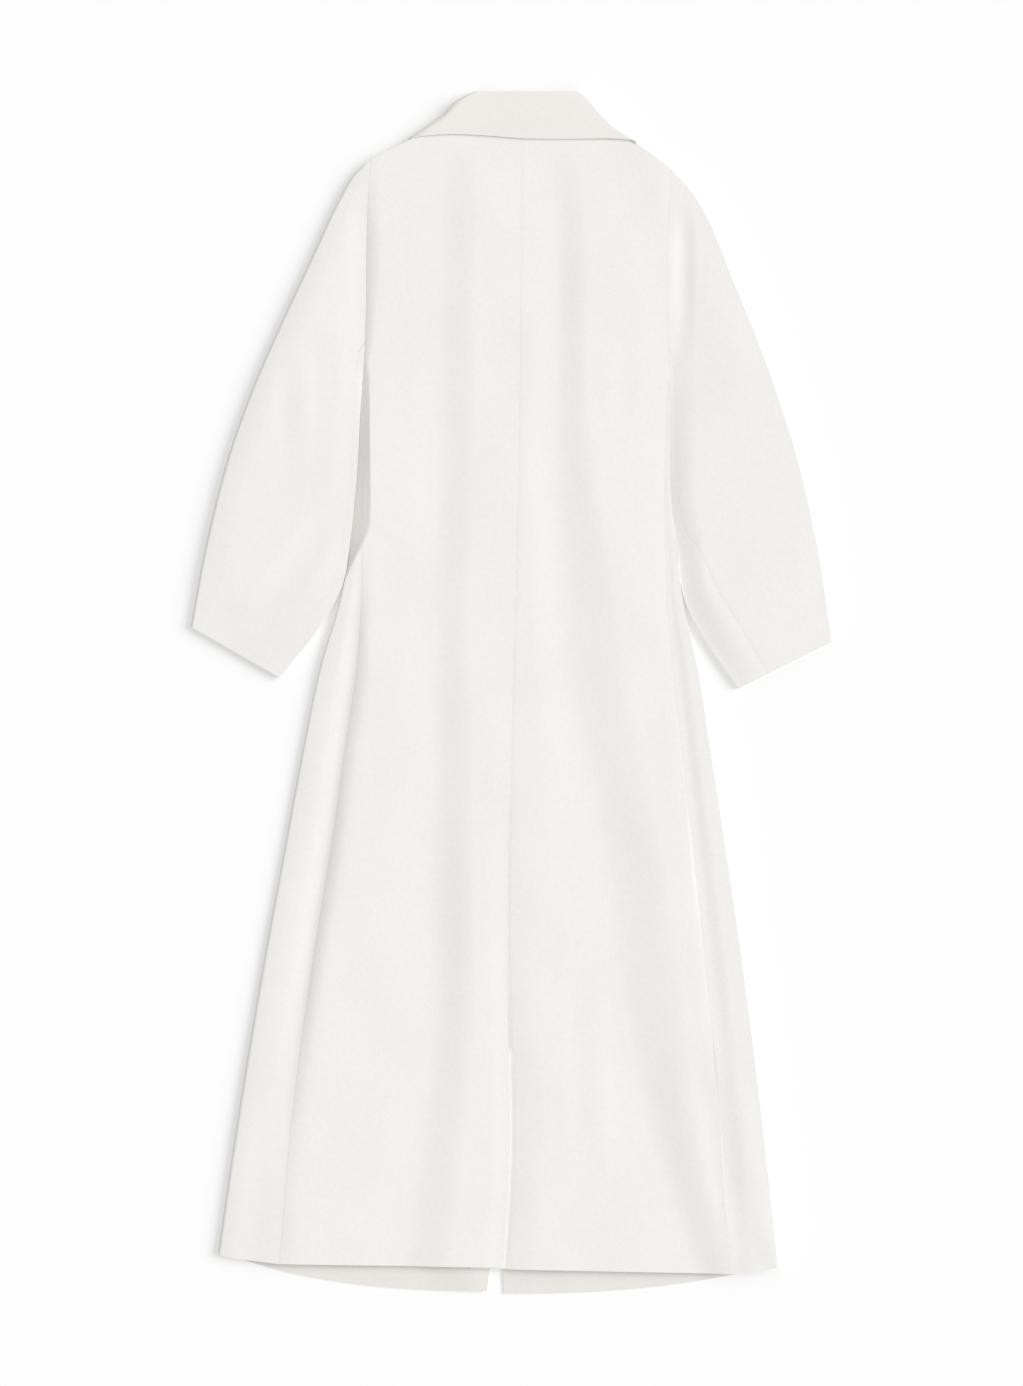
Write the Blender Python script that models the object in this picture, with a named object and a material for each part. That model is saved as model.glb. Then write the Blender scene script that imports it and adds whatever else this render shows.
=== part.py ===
"""Long double-breasted coat, laid flat on its front with its back uppermost.

Metres, +Z up. The coat lies on the plane z = 0 with its collar towards +Y and its left side at -X.
Sizes and tables are in millimetres. "down" runs from the collar's top edge towards the hem.
"""

import math
from collections import namedtuple

import bmesh
import bpy
import numpy as np

MM = 0.001
TINY = 1e-3  # keeps shares and widths off zero
LENGTH = 1333.0  # collar's top edge to the lowest point of the front hems
CLOTH = 2.0  # wall of the body and the sleeves
COLLAR_CLOTH = 2.6
LAPEL_CLOTH = 3.0  # a lapel is two cloths sewn together
GAP = 0.3  # between neighbouring pieces at a seam
FOLD = 3.5  # radius of a folded edge

MIDLINE = 8.0  # x of the line between the two columns of buttons
SUPPORT = 3.3  # how far lapels and buttons hold the fronts off the surface
SUPPORT_HALF_WIDTH = 128.0
SUPPORT_EDGE = 26.0  # width over which they slope down beside it
SUPPORT_END = 515.0
SUPPORT_FADE = 130.0  # length over which they slope down below it
OVERLAP_LIFT = CLOTH + 2 * GAP  # the left front lies on the right front
OVERLAP_RAMP = 55.0  # width over which it climbs
OVERLAP_LEAD = 30.0  # from the top of that slope to the right front's edge

SIDE_ROLL = 22.0  # width over which the back rolls down to its side seam
SHOULDER_ROLL = 26.0
SHOULDER_GAP = 0.4  # between back and fronts at the shoulder seam
NECK_END = 0.36  # share of the top line where the neck edge starts to give way to the shoulder
NECK_FADE = 0.12
NECK_POINT = 0.47  # share of the top line where neck and shoulder meet
STRIP_ROLL = 34.0  # width over which the fronts' visible side strips swell from the fold
STRIP_ROLL_SHARE = 0.75  # and at most this share of a narrow strip
STRIP_VALLEY = 15.0  # width over which a strip sinks to its seam
STRIP_VALLEY_SHARE = 0.4
STRIP_CREST = {"left": 9.8, "right": 11.2}
STRIP_FULL = 40.0  # width at which a strip stands its full height
CURL_START = 300.0  # the fronts start to turn up at the side just above the underarm
CURL_END = 346.0

VENT_TOP = 1063.0
VENT_UNDERLAP = 36.0
VENT_SLOPE = 20.0  # length over which the underlap widens at the top of the vent
DIP_FLAT = 22.0  # width of the dip beside the centre seam, and of its slope
DIP_REACH = 22.0

SLEEVE_ROLL = 28.0  # width over which a sleeve swells from its folded edges
SLEEVE_FRONT_SEAM = 25.0  # on the underside, in from where the inner fold turns under
LEAST_SQUARE = 0.12  # least sine of the angle between a sleeve's ring and its folds
HEAD_SHARE = 0.25  # share of the sleeve over which its rings bend to the armhole
ARMHOLE_HEIGHT = {"left": 8.4, "right": 10.4}
ARMHOLE_VALLEY = 30.0  # width of the valley at the armhole seam
VALLEY_SHARE = 0.4  # share of the sleeve over which it fills up

COLLAR_X = 10.0  # x of the collar's centre
COLLAR_DEPTH = 49.0  # top edge to outer edge of the fall, at the centre
COLLAR_END_DROP = 8.0  # how much lower the outer edge is where it turns round the neck
COLLAR_DROP_START = 0.35
COLLAR_ROLL = 3.2
COLLAR_ROLL_START = 0.75  # share of the fall, from its outer edge, where it starts to roll over
COLLAR_BEND_TOP = 7.0  # reach of the turn round the neck, at the roll and at the outer edge
COLLAR_BEND_EDGE = 12.0
COLLAR_HEIGHT = 13.6  # at the roll; the outer edge lies a little higher, over the back
COLLAR_EDGE_LIFT = 1.6
GORGE_INNER = (46.0, 102.0)  # ends of the seam between collar and lapel: from COLLAR_X, and down
GORGE_OUTER = (92.0, 120.0)
STAND_LEFT = -62.0  # x of the stand's ends at the neck seam
STAND_RIGHT = 84.0
STAND_NARROWING = 0.58  # its width at the top, as a share of that at the seam
STAND_TOP_DOWN = 1.0
STAND_TOP_HEIGHT = 9.9

BUTTON_RADIUS = 12.5
BUTTON_THICKNESS = 2.9
BUTTON_SIDES = 24
BUTTON_ROUND = 0.8  # width of the softened edge
BUTTON_OFFSET = 55.0  # from MIDLINE to each column
BUTTON_ROWS = {"upper": 392.0, "lower": 489.0}

IVORY = (0.86, 0.85, 0.81, 1.0)
HORN = (0.80, 0.77, 0.70, 1.0)
CLOTH_ROUGHNESS = 0.9
HORN_ROUGHNESS = 0.4
SHARP_ANGLE = math.radians(40)  # edges above this are drawn sharp

BODY_ROWS = 28  # steps of the walls' grids
ROW_CROWDING = 1.2  # crowds the body's rows towards the shoulders
BACK_COLUMNS = {"left": 20, "right": 22}
SLEEVE_ROWS = 14

# Body, from the shoulders to the hem: outline, side seams and centre-back seam.
Section = namedtuple("Section", "down left_edge left_seam centre right_seam right_edge")
BODY = [
    Section(75, -154.0, -154.0, 10.0, 178.0, 178.0),
    Section(120, -155.5, -155.5, 10.0, 175.0, 175.0),
    Section(170, -156.5, -156.5, 10.0, 173.0, 173.0),
    Section(231, -157.5, -157.5, 10.0, 173.0, 173.0),
    Section(300, -158.5, -158.0, 9.5, 173.0, 173.5),
    Section(336, -161.0, -157.5, 9.0, 170.5, 174.0),
    Section(386, -161.5, -156.5, 8.5, 170.0, 175.0),
    Section(442, -160.5, -155.5, 7.5, 170.0, 180.0),
    Section(490, -161.5, -156.0, 6.0, 170.0, 191.0),
    Section(520, -172.0, -160.0, 5.5, 171.0, 194.5),
    Section(564, -190.5, -163.5, 3.5, 172.5, 198.0),
    Section(633, -211.5, -170.0, 1.0, 178.5, 205.5),
    Section(730, -232.0, -183.0, -2.0, 188.5, 221.5),
    Section(841, -252.5, -200.0, -6.0, 201.0, 238.5),
    Section(952, -273.0, -218.0, -10.0, 213.5, 254.5),
    Section(1063, -292.0, -234.0, -12.0, 224.5, 269.0),
    Section(1174, -309.5, -246.5, -11.5, 233.0, 282.0),
    Section(1310, -329.0, -257.5, -9.5, 242.0, 296.5),
]

# Height of the back: its flat middle and its two side seams.
Height = namedtuple("Height", "down middle left_seam right_seam")
HEIGHTS = [
    Height(30, 10.6, 5.2, 5.2),
    Height(75, 11.0, 5.2, 5.2),
    Height(130, 12.4, 8.2, 9.8),
    Height(250, 12.6, 8.6, 10.6),
    Height(336, 12.6, 7.4, 8.6),
    Height(490, 12.4, 7.2, 7.8),
    Height(620, 12.2, 7.6, 8.8),
    Height(800, 12.0, 8.0, 10.0),
    Height(1000, 12.0, 8.2, 10.4),
    Height(1310, 11.6, 8.8, 10.0),
]

# Free edges of the fronts: lapel roll lines down to the waist, then straight to the hem.
FrontEdge = namedtuple("FrontEdge", "down left right")
FRONT_EDGES = [
    FrontEdge(28, -67.0, 89.0),
    FrontEdge(200, 13.0, 4.0),
    FrontEdge(340, 79.0, -66.0),
    FrontEdge(400, 91.0, -77.0),
    FrontEdge(490, 83.0, -68.0),
    FrontEdge(900, 32.0, -39.0),
    FrontEdge(1333, -28.0, -8.0),
]

# Top of each back panel, from the centre seam (0) past the neck point to the shoulder point (1).
TopLine = namedtuple("TopLine", "share left right")
TOP_LINE = [
    TopLine(0.00, 40.0, 40.0),
    TopLine(0.25, 38.5, 37.5),
    TopLine(0.40, 34.5, 31.0),
    TopLine(0.47, 33.5, 29.5),
    TopLine(0.60, 42.0, 40.0),
    TopLine(0.80, 59.0, 62.0),
    TopLine(1.00, 75.5, 86.5),
]

# Long soft valleys of the back, from neck to hem. Going to the right, the cloth falls into a valley
# and climbs out of it, by these heights and over these widths.
Valley = namedtuple("Valley", "down x fall fall_reach rise rise_reach")
LEFT_VALLEY = [
    Valley(50, -76.0, 0.0, 40.0, 0.0, 40.0),
    Valley(142, -80.0, 0.0, 40.0, 2.0, 42.0),
    Valley(364, -80.0, 0.5, 34.0, 2.1, 40.0),
    Valley(586, -86.0, 0.8, 38.0, 2.2, 42.0),
    Valley(808, -88.0, 0.7, 56.0, 3.8, 46.0),
    Valley(1030, -89.0, 0.6, 60.0, 4.1, 48.0),
    Valley(1310, -122.0, 0.6, 50.0, 3.4, 56.0),
]
RIGHT_VALLEY = [
    Valley(50, 38.0, 0.0, 30.0, 0.0, 40.0),
    Valley(142, 48.0, 0.2, 24.0, 2.0, 34.0),
    Valley(364, 50.0, 1.3, 36.0, 2.5, 38.0),
    Valley(586, 58.0, 1.4, 38.0, 3.4, 62.0),
    Valley(697, 71.0, 1.5, 44.0, 4.2, 70.0),
    Valley(808, 92.0, 1.3, 60.0, 4.6, 70.0),
    Valley(1030, 126.0, 0.6, 60.0, 5.2, 70.0),
    Valley(1141, 149.0, 0.5, 60.0, 5.0, 60.0),
    Valley(1310, 205.0, 0.4, 60.0, 2.4, 34.0),
]
VALLEYS = [LEFT_VALLEY, RIGHT_VALLEY]

# The right back dips towards the centre seam, until it passes below the left back at the vent.
Dip = namedtuple("Dip", "down depth")
CENTRE_DIP = [Dip(480, 0.0), Dip(700, 0.8), Dip(880, 1.7), Dip(1000, 2.7), Dip(1310, 2.7)]

# Flattened sleeves: the outer and the inner fold from the armhole (0) to the cuff (1), the height
# between them, and the back seam's distance in from the inner fold.
Ring = namedtuple("Ring", "share outer_x outer_down inner_x inner_down height seam")
LEFT_SLEEVE = [
    Ring(0.00, -154.5, 75.5, -162.6, 336.0, 11.5, 7.0),
    Ring(0.15, -193.0, 123.0, -164.3, 355.0, 12.5, 7.0),
    Ring(0.30, -227.5, 195.5, -167.6, 392.0, 13.0, 7.0),
    Ring(0.45, -261.0, 267.5, -171.5, 442.0, 13.0, 7.0),
    Ring(0.60, -291.0, 337.5, -177.6, 492.0, 12.6, 7.0),
    Ring(0.75, -317.5, 415.0, -187.6, 541.5, 12.0, 10.0),
    Ring(0.88, -340.0, 506.0, -214.0, 597.0, 11.6, 16.0),
    Ring(1.00, -356.0, 592.5, -256.4, 649.5, 9.6, 22.0),
]
RIGHT_SLEEVE = [
    Ring(0.00, 178.5, 86.5, 175.6, 336.0, 11.5, 7.0),
    Ring(0.15, 214.0, 133.0, 177.2, 369.5, 12.5, 7.0),
    Ring(0.30, 245.5, 208.5, 181.5, 419.5, 13.0, 7.0),
    Ring(0.45, 273.0, 275.5, 189.3, 466.0, 13.0, 7.0),
    Ring(0.60, 297.5, 344.0, 197.0, 508.5, 12.6, 9.0),
    Ring(0.75, 322.0, 426.0, 201.6, 553.0, 12.0, 24.0),
    Ring(0.88, 342.0, 519.5, 216.5, 614.0, 11.6, 42.0),
    Ring(1.00, 355.5, 609.5, 251.5, 661.5, 9.6, 35.0),
]

# Flattened ring of the collar: half its width, from its top edge to its lowest corners.
CollarRow = namedtuple("CollarRow", "down half")
COLLAR = [
    CollarRow(0, 53.0),
    CollarRow(4, 61.0),
    CollarRow(11, 72.0),
    CollarRow(27, 90.0),
    CollarRow(42, 110.5),
    CollarRow(57, 134.0),
]

# Lapels, turned out under the fronts: corners from the collar seam round to the lower end.
Corner = namedtuple("Corner", "x down")
RIGHT_LAPEL = [Corner(122, 172), Corner(48, 258), Corner(-68, 352)]
LEFT_LAPEL = [Corner(-104, 172), Corner(-70, 214), Corner(-24, 250), Corner(6, 192)]

STEP = 1e-3  # of a surface's own parameters, for its normals


class Curve:
    """A smooth line through values at given positions, level beyond both ends."""

    def __init__(self, positions, values):
        self.positions = np.array(positions, dtype=float)
        self.values = np.array(values, dtype=float)
        self.slopes = np.gradient(self.values, self.positions)

    def __call__(self, at):
        at = np.clip(at, self.positions[0], self.positions[-1])
        low = np.searchsorted(self.positions, at, side="right") - 1
        low = np.clip(low, 0, len(self.positions) - 2)
        span = self.positions[low + 1] - self.positions[low]
        t = (at - self.positions[low]) / span
        start = self.values[low] * (1 + 2 * t) * (1 - t) ** 2
        end = self.values[low + 1] * t**2 * (3 - 2 * t)
        leave = self.slopes[low] * span * t * (1 - t) ** 2
        arrive = self.slopes[low + 1] * span * t**2 * (t - 1)
        return start + end + leave + arrive


def curves(rows):
    """One smooth curve for each column of a table, over its first column."""
    columns = dict(zip(rows[0]._fields, zip(*rows)))
    first = rows[0]._fields[0]
    positions = columns.pop(first)
    return {name: Curve(positions, values) for name, values in columns.items()}


def smooth(q):
    """Rises from 0 to 1 with level ends."""
    q = np.clip(q, 0.0, 1.0)
    return q * q * (3 - 2 * q)


def rounded(q):
    """Quarter ellipse: steep at 0, level at 1."""
    q = np.clip(q, 0.0, 1.0)
    return np.sqrt(np.maximum(1 - (1 - q) ** 2, 0.0))


def rising(q):
    """Parabola that rises from 0 and is level at 1."""
    return 1 - (1 - np.clip(q, 0.0, 1.0)) ** 2


def mix(a, b, share):
    return a * (1 - share) + b * share


body = curves(BODY)
heights = curves(HEIGHTS)
front_edges = curves(FRONT_EDGES)
top_line = curves(TOP_LINE)
centre_dip = curves(CENTRE_DIP)["depth"]
valleys = [curves(rows) for rows in VALLEYS]
sleeves = {"left": curves(LEFT_SLEEVE), "right": curves(RIGHT_SLEEVE)}
collar_half = curves(COLLAR)["half"]

# The hems: of the back, at the centre and the side seam, and of the fronts, at seam, fold and free edge.
Hem = namedtuple("Hem", "back_centre back_side strip_seam strip_fold front_edge")
HEMS = {
    "left": Hem(1303.0, 1299.0, 1299.0, 1287.0, 1330.0),
    "right": Hem(1304.0, 1310.0, 1310.0, 1301.0, LENGTH),
}
SIGNS = {"left": -1.0, "right": 1.0}


def place(x, down, z):
    """World points in metres."""
    return np.stack([x * MM, (LENGTH / 2 - down) * MM, z * MM], axis=-1)


def front_support(x, down):
    """Height of the fronts' underside over the lapels and buttons."""
    across = 1 - smooth((np.abs(x - MIDLINE) - SUPPORT_HALF_WIDTH) / SUPPORT_EDGE)
    along = 1 - smooth((down - SUPPORT_END) / SUPPORT_FADE)
    return SUPPORT * across * along


def front_floor(side, x, down):
    """Height of a front's underside; the left front climbs over the right one."""
    floor = front_support(x, down)
    if side == "left":
        past = x - front_edges["right"](down) + OVERLAP_LEAD + OVERLAP_RAMP
        floor = floor + OVERLAP_LIFT * smooth(past / OVERLAP_RAMP)
    return floor


def top_share(side, x):
    """Where x lies between the centre seam (0) and the shoulder point (1)."""
    centre = BODY[0].centre
    shoulder = BODY[0].left_seam if side == "left" else BODY[0].right_seam
    return (x - centre) / (shoulder - centre)


def sway(x, down):
    """Height that the long valleys add to the back. Gentle slopes between them level its two sides."""
    left = body["left_seam"](down)
    right = body["right_seam"](down)
    lift = 0.0
    climb = 0.0
    for valley in valleys:
        past = x - valley["x"](down)
        fall = valley["fall"](down)
        rise = valley["rise"](down)
        lift = lift - fall * smooth(past / valley["fall_reach"](down) + 1)
        lift = lift + rise * smooth(past / valley["rise_reach"](down))
        climb = climb + rise - fall
    return lift - climb * (x - left) / (right - left)


def back_height(side, x, down):
    """Height of the back's upper surface."""
    middle = heights["middle"](down) + sway(x, down)
    seam = heights[side + "_seam"](down)
    inward = (body[side + "_seam"](down) - x) * SIGNS[side]
    share = top_share(side, x)
    below = down - top_line[side](np.clip(share, 0, 1))
    side_roll = rising(inward / SIDE_ROLL)
    past_neck = smooth((share - NECK_END) / NECK_FADE)
    top_roll = 1 - (1 - rounded(below / SHOULDER_ROLL)) * past_neck
    shoulder = front_support(x, down) + 2 * CLOTH + SHOULDER_GAP
    side_weight = 1 + TINY - side_roll
    top_weight = 1 + TINY - top_roll
    low = (seam * side_weight + shoulder * top_weight) / (side_weight + top_weight)
    height = mix(low, middle, side_roll * top_roll)
    if side == "right":
        from_centre = (x - body["centre"](down) - DIP_FLAT) / DIP_REACH
        height = height - centre_dip(down) * (1 - smooth(from_centre))
    return height


def back_surface(side):
    """Upper surface of a back panel, from its centre edge (0) to its side (1), and from top to hem."""

    def surface(across, along):
        hem = mix(HEMS[side].back_centre, HEMS[side].back_side, across)
        down = mix(top_line[side](across), hem, along)
        centre = body["centre"](down) + SIGNS[side] * GAP / 2
        if side == "right":
            centre = centre - VENT_UNDERLAP * smooth((down - VENT_TOP) / VENT_SLOPE)
        outer = body[side + "_seam"](down) - SIGNS[side] * GAP / 2
        x = mix(centre, outer, across)
        return place(x, down, back_height(side, x, down))

    return surface


def strip_height(side, inward, strip, down):
    """Height of a front's side strip, at a distance in from its folded edge."""
    seam = heights[side + "_seam"](down)
    crest = mix(seam, STRIP_CREST[side], smooth(strip / STRIP_FULL))
    roll = np.minimum(STRIP_ROLL, STRIP_ROLL_SHARE * strip) + TINY
    valley = np.minimum(STRIP_VALLEY, STRIP_VALLEY_SHARE * strip) + TINY
    dropped = (crest - seam) * (1 - smooth((strip - inward) / valley))
    turned = FOLD + FOLD * rounded(inward / FOLD)
    return turned + (crest - 2 * FOLD) * rising(inward / roll) - dropped


def front_surface(side):
    """Outer surface of a front. Across it, 0 to 1 is the strip that shows at the side, from its seam
    to the fold, 1 to 2 turns under the fold, and 2 to 3 lies below the back as far as the free edge."""
    hem = HEMS[side]
    sign = SIGNS[side]

    def surface(across, along):
        on_strip = np.clip(across, 0, 1)
        in_fold = np.clip(across - 1, 0, 1)
        below = np.clip(across - 2, 0, 1)
        strip_hem = mix(hem.strip_seam, hem.strip_fold, on_strip)
        lower_hem = mix(hem.strip_fold, hem.front_edge, 1 - (1 - below) ** 2)
        top = mix(top_line[side](1.0), top_line[side](NECK_POINT), below)
        down = mix(top, np.where(across > 1, lower_hem, strip_hem), along)
        edge = body[side + "_edge"](down)
        strip = (edge - body[side + "_seam"](down)) * sign - GAP / 2
        strip = np.maximum(strip, 0.0)
        turn = in_fold * math.pi / 2
        span = (edge - front_edges[side](down)) * sign
        inward = strip * (1 - np.sin(on_strip * math.pi / 2))
        inward = np.where(across > 1, FOLD * (1 - np.cos(turn)), inward)
        inward = np.where(across > 2, mix(FOLD, span, below), inward)
        z = np.where(across > 1, FOLD * (1 - np.sin(turn)), strip_height(side, inward, strip, down))
        curl = smooth((down - CURL_START) / (CURL_END - CURL_START))
        folded = across < 2
        inward = np.where(folded, mix(GAP / 2 + FOLD * across / 2, inward, curl), inward)
        x = edge - sign * inward
        z = np.where(folded, z * curl, front_floor(side, x, down))
        return place(x, down, z)

    return surface


def squareness(ring, fold, along):
    """Sine of the angle at which a sleeve's rings meet its outer or its inner fold."""
    along = np.clip(along, 0, 1)
    run_x = ring["inner_x"](along) - ring["outer_x"](along)
    run_down = ring["inner_down"](along) - ring["outer_down"](along)
    fold_x = ring[fold + "_x"](along + STEP) - ring[fold + "_x"](along - STEP)
    fold_down = ring[fold + "_down"](along + STEP) - ring[fold + "_down"](along - STEP)
    cross = np.abs(run_x * fold_down - run_down * fold_x)
    sine = cross / (np.hypot(run_x, run_down) * np.hypot(fold_x, fold_down))
    return np.maximum(sine, LEAST_SQUARE)


def sleeve_surface(side):
    """Outer surface of a flattened sleeve, along it from the armhole (0) to the cuff (1). Round it,
    0 to 1 is the top from the inner to the outer fold, 1 to 2 turns under the outer fold, 2 to 3 is
    the underside back to the inner fold, and 3 to 4 turns up to the top again."""
    ring = sleeves[side]
    sign = SIGNS[side]

    def surface(around, along):
        around = np.mod(around, 4.0)
        outer_x = ring["outer_x"](along)
        outer_down = ring["outer_down"](along)
        run_x = ring["inner_x"](along) - outer_x
        run_down = ring["inner_down"](along) - outer_down
        width = np.hypot(run_x, run_down)
        outer_square = squareness(ring, "outer", along)
        inner_square = squareness(ring, "inner", along)
        outer_fold = FOLD / outer_square
        inner_fold = FOLD / inner_square
        on_top = np.clip(around, 0, 1)
        outer_turn = np.clip(around - 1, 0, 1) * math.pi / 2
        below = np.clip(around - 2, 0, 1)
        inner_turn = np.clip(around - 3, 0, 1) * math.pi / 2
        from_outer = width * (1 + np.cos(math.pi * on_top)) / 2
        from_outer = np.where(around > 1, outer_fold * (1 - np.cos(outer_turn)), from_outer)
        from_outer = np.where(around > 2, mix(outer_fold, width - inner_fold, below), from_outer)
        from_outer = np.where(around > 3, width - inner_fold * (1 - np.sin(inner_turn)), from_outer)
        share = from_outer / width
        x = outer_x + run_x * share
        down = outer_down + run_down * share
        first_x = mix(ring["outer_x"](0.0), ring["inner_x"](0.0), share)
        first_down = mix(ring["outer_down"](0.0), ring["inner_down"](0.0), share)
        bow = body[side + "_edge"](first_down) + sign * GAP / 2 - first_x
        x = x + bow * (1 - smooth(along / HEAD_SHARE))
        away = np.abs(x - body[side + "_edge"](down))
        valley = (1 - smooth(away / ARMHOLE_VALLEY)) * (1 - smooth(along / VALLEY_SHARE))
        height = mix(ring["height"](along), ARMHOLE_HEIGHT[side], valley)
        outward = from_outer * outer_square
        inward = (width - from_outer) * inner_square
        turned = FOLD + FOLD * rounded(outward / FOLD) * rounded(inward / FOLD)
        swell = rising(outward / SLEEVE_ROLL) * rising(inward / SLEEVE_ROLL)
        z = turned + (height - 2 * FOLD) * swell
        z = np.where(around > 1, FOLD * (1 - np.sin(outer_turn)), z)
        z = np.where(around > 2, 0.0, z)
        z = np.where(around > 3, FOLD * (1 - np.cos(inner_turn)), z)
        return place(x, down, z)

    return surface


def sleeve_piece(side, upper):
    """The upper or the under sleeve: the stretch of the ring between the back and the front seam."""
    ring = sleeves[side]
    whole = sleeve_surface(side)
    half_gap = GAP / 2 if upper else -GAP / 2

    def surface(share, along):
        run_x = ring["inner_x"](along) - ring["outer_x"](along)
        run_down = ring["inner_down"](along) - ring["outer_down"](along)
        width = np.hypot(run_x, run_down)
        inner_square = squareness(ring, "inner", along)
        flat = width - FOLD / squareness(ring, "outer", along) - FOLD / inner_square
        from_fold = (ring["seam"](along) + half_gap) / inner_square
        back = np.arccos(1 - 2 * from_fold / width) / math.pi
        front = 3 - (SLEEVE_FRONT_SEAM + half_gap / inner_square) / flat
        if upper:
            around = np.where(share < 1, mix(back, 1.0, share), share)
            around = np.where(share > 2, mix(2.0, front, share - 2), around)
        else:
            around = np.where(share < 1, mix(front, 3.0, share), share + 2)
            around = np.where(share > 2, mix(4.0, 4.0 + back, share - 2), around)
        return whole(around, along)

    return surface


def collar_surface(across, up):
    """Outer surface of the collar's fall. Across it, 0 is the centre back, 1 to 2 turns round the side
    of the neck on either side, and 3 is a front end below. Up it, 0 is the outer edge, 1 the roll."""
    sign = np.sign(across)
    reach = np.abs(across)
    rise = np.clip(up / COLLAR_ROLL_START, 0, 1)
    roll = np.clip((up - COLLAR_ROLL_START) / (1 - COLLAR_ROLL_START), 0, 1) * math.pi / 2
    depth = COLLAR_DEPTH + COLLAR_END_DROP * smooth(reach - COLLAR_DROP_START)
    down = mix(depth, COLLAR_ROLL, rise) - COLLAR_ROLL * np.sin(roll)
    inset = COLLAR_ROLL * (1 - np.cos(roll))
    depth_share = down / depth
    half = collar_half(down)
    top = COLLAR_HEIGHT + COLLAR_EDGE_LIFT * depth_share
    bend = mix(COLLAR_BEND_TOP, COLLAR_BEND_EDGE, depth_share)
    turn = np.clip(reach - 1, 0, 1) * math.pi
    below = np.clip(reach - 2, 0, 1)
    front_x = mix(GORGE_INNER[0], GORGE_OUTER[0], depth_share)
    front_down = mix(GORGE_INNER[1], GORGE_OUTER[1], depth_share)
    x = (half - bend) * np.clip(reach, 0, 1) + bend * np.sin(turn)
    x = np.where(reach > 2, mix(half - bend, front_x, below), x)
    z = top / 2 + (top / 2 - inset) * np.cos(turn)
    return place(COLLAR_X + sign * x, mix(down, front_down, below), z)


def stand_surface(across, up):
    """Upper surface of the collar's stand, from the neck seam (0) to just under the roll (1)."""
    neck_x = mix(STAND_LEFT, STAND_RIGHT, across)
    x = mix(neck_x, COLLAR_X + (neck_x - COLLAR_X) * STAND_NARROWING, up)
    left = top_line["left"](top_share("left", neck_x))
    right = top_line["right"](top_share("right", neck_x))
    neck = np.where(neck_x < BODY[0].centre, left, right) - GAP
    return place(x, mix(neck, STAND_TOP_DOWN, up), mix(heights["middle"](0.0), STAND_TOP_HEIGHT, up))


def cloth_material(name, colour, roughness):
    material = bpy.data.materials.new(name)
    material.use_nodes = True
    shader = material.node_tree.nodes["Principled BSDF"]
    shader.inputs["Base Color"].default_value = colour
    shader.inputs["Roughness"].default_value = roughness
    shader.inputs["Metallic"].default_value = 0.0
    return material


def add_object(name, bm, colour, roughness):
    bmesh.ops.recalc_face_normals(bm, faces=bm.faces)
    if bm.calc_volume(signed=True) < 0:
        bmesh.ops.reverse_faces(bm, faces=bm.faces)
    mesh = bpy.data.meshes.new(name)
    bm.to_mesh(mesh)
    bm.free()
    mesh.shade_smooth()
    mesh.set_sharp_from_angle(angle=SHARP_ANGLE)
    mesh.materials.append(cloth_material(name, colour, roughness))
    bpy.context.scene.collection.objects.link(bpy.data.objects.new(name, mesh))


def grid_sheet(bm, points):
    """A grid of faces through an array of points."""
    rows, columns = points.shape[:2]
    made = bmesh.ops.create_grid(bm, x_segments=columns - 1, y_segments=rows - 1, size=1.0)
    for vert, point in zip(made["verts"], points.reshape(-1, 3)):
        vert.co = point
    return np.array(made["verts"], dtype=object).reshape(rows, columns)


def rim(grid):
    """The vertices round a grid, in order."""
    return [*grid[0, :-1], *grid[:-1, -1], *grid[-1, :0:-1], *grid[:0:-1, 0]]


def cloth_wall(name, surface, across, along, thickness, flush=False):
    """A closed wall behind an outer surface, which is read at the given places across and along it.
    With flush, its first row has its whole thickness in a plane across X."""
    across, along = np.meshgrid(np.array(across), np.array(along))
    outer = surface(across, along)
    cross = surface(across + STEP, along) - surface(across - STEP, along)
    run = surface(across, along + STEP) - surface(across, along - STEP)
    normal = np.cross(run, cross)
    if flush:
        normal[0, :, 0] = 0.0
    normal /= np.linalg.norm(normal, axis=-1, keepdims=True)
    highest = outer[..., 2].argmax()
    if normal[..., 2].flat[highest] < 0:
        normal = -normal
    inner = outer - normal * thickness * MM
    sunk = np.minimum(inner[..., 2], 0.0)  # where the wall would reach below the surface, it is lifted
    outer[..., 2] -= sunk
    inner[..., 2] -= sunk
    bm = bmesh.new()
    front = rim(grid_sheet(bm, outer))
    back = rim(grid_sheet(bm, inner))
    for i in range(len(front)):
        bm.faces.new((front[i - 1], front[i], back[i], back[i - 1]))
    add_object(name, bm, IVORY, CLOTH_ROUGHNESS)


def stretches(*parts):
    """Even steps along neighbouring stretches: pairs of a stretch's end and its number of steps."""
    places = [parts[0]]
    for end, steps in parts[1:]:
        start = places[-1]
        places += [mix(start, end, (i + 1) / steps) for i in range(steps)]
    return places


def lapel(name, sign, corners):
    """A flat two-cloth lapel, its first edge on the collar seam."""
    gorge = [Corner(COLLAR_X + sign * x, down + 2 * GAP) for x, down in (GORGE_INNER, GORGE_OUTER)]
    bm = bmesh.new()
    ring = [bm.verts.new(place(c.x, c.down, 0.0)) for c in gorge + corners]
    face = bm.faces.new(ring)
    made = bmesh.ops.extrude_face_region(bm, geom=[face], use_keep_orig=True)
    lifted = [item for item in made["geom"] if isinstance(item, bmesh.types.BMVert)]
    bmesh.ops.translate(bm, verts=lifted, vec=(0.0, 0.0, LAPEL_CLOTH * MM))
    add_object(name, bm, IVORY, CLOTH_ROUGHNESS)


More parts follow.
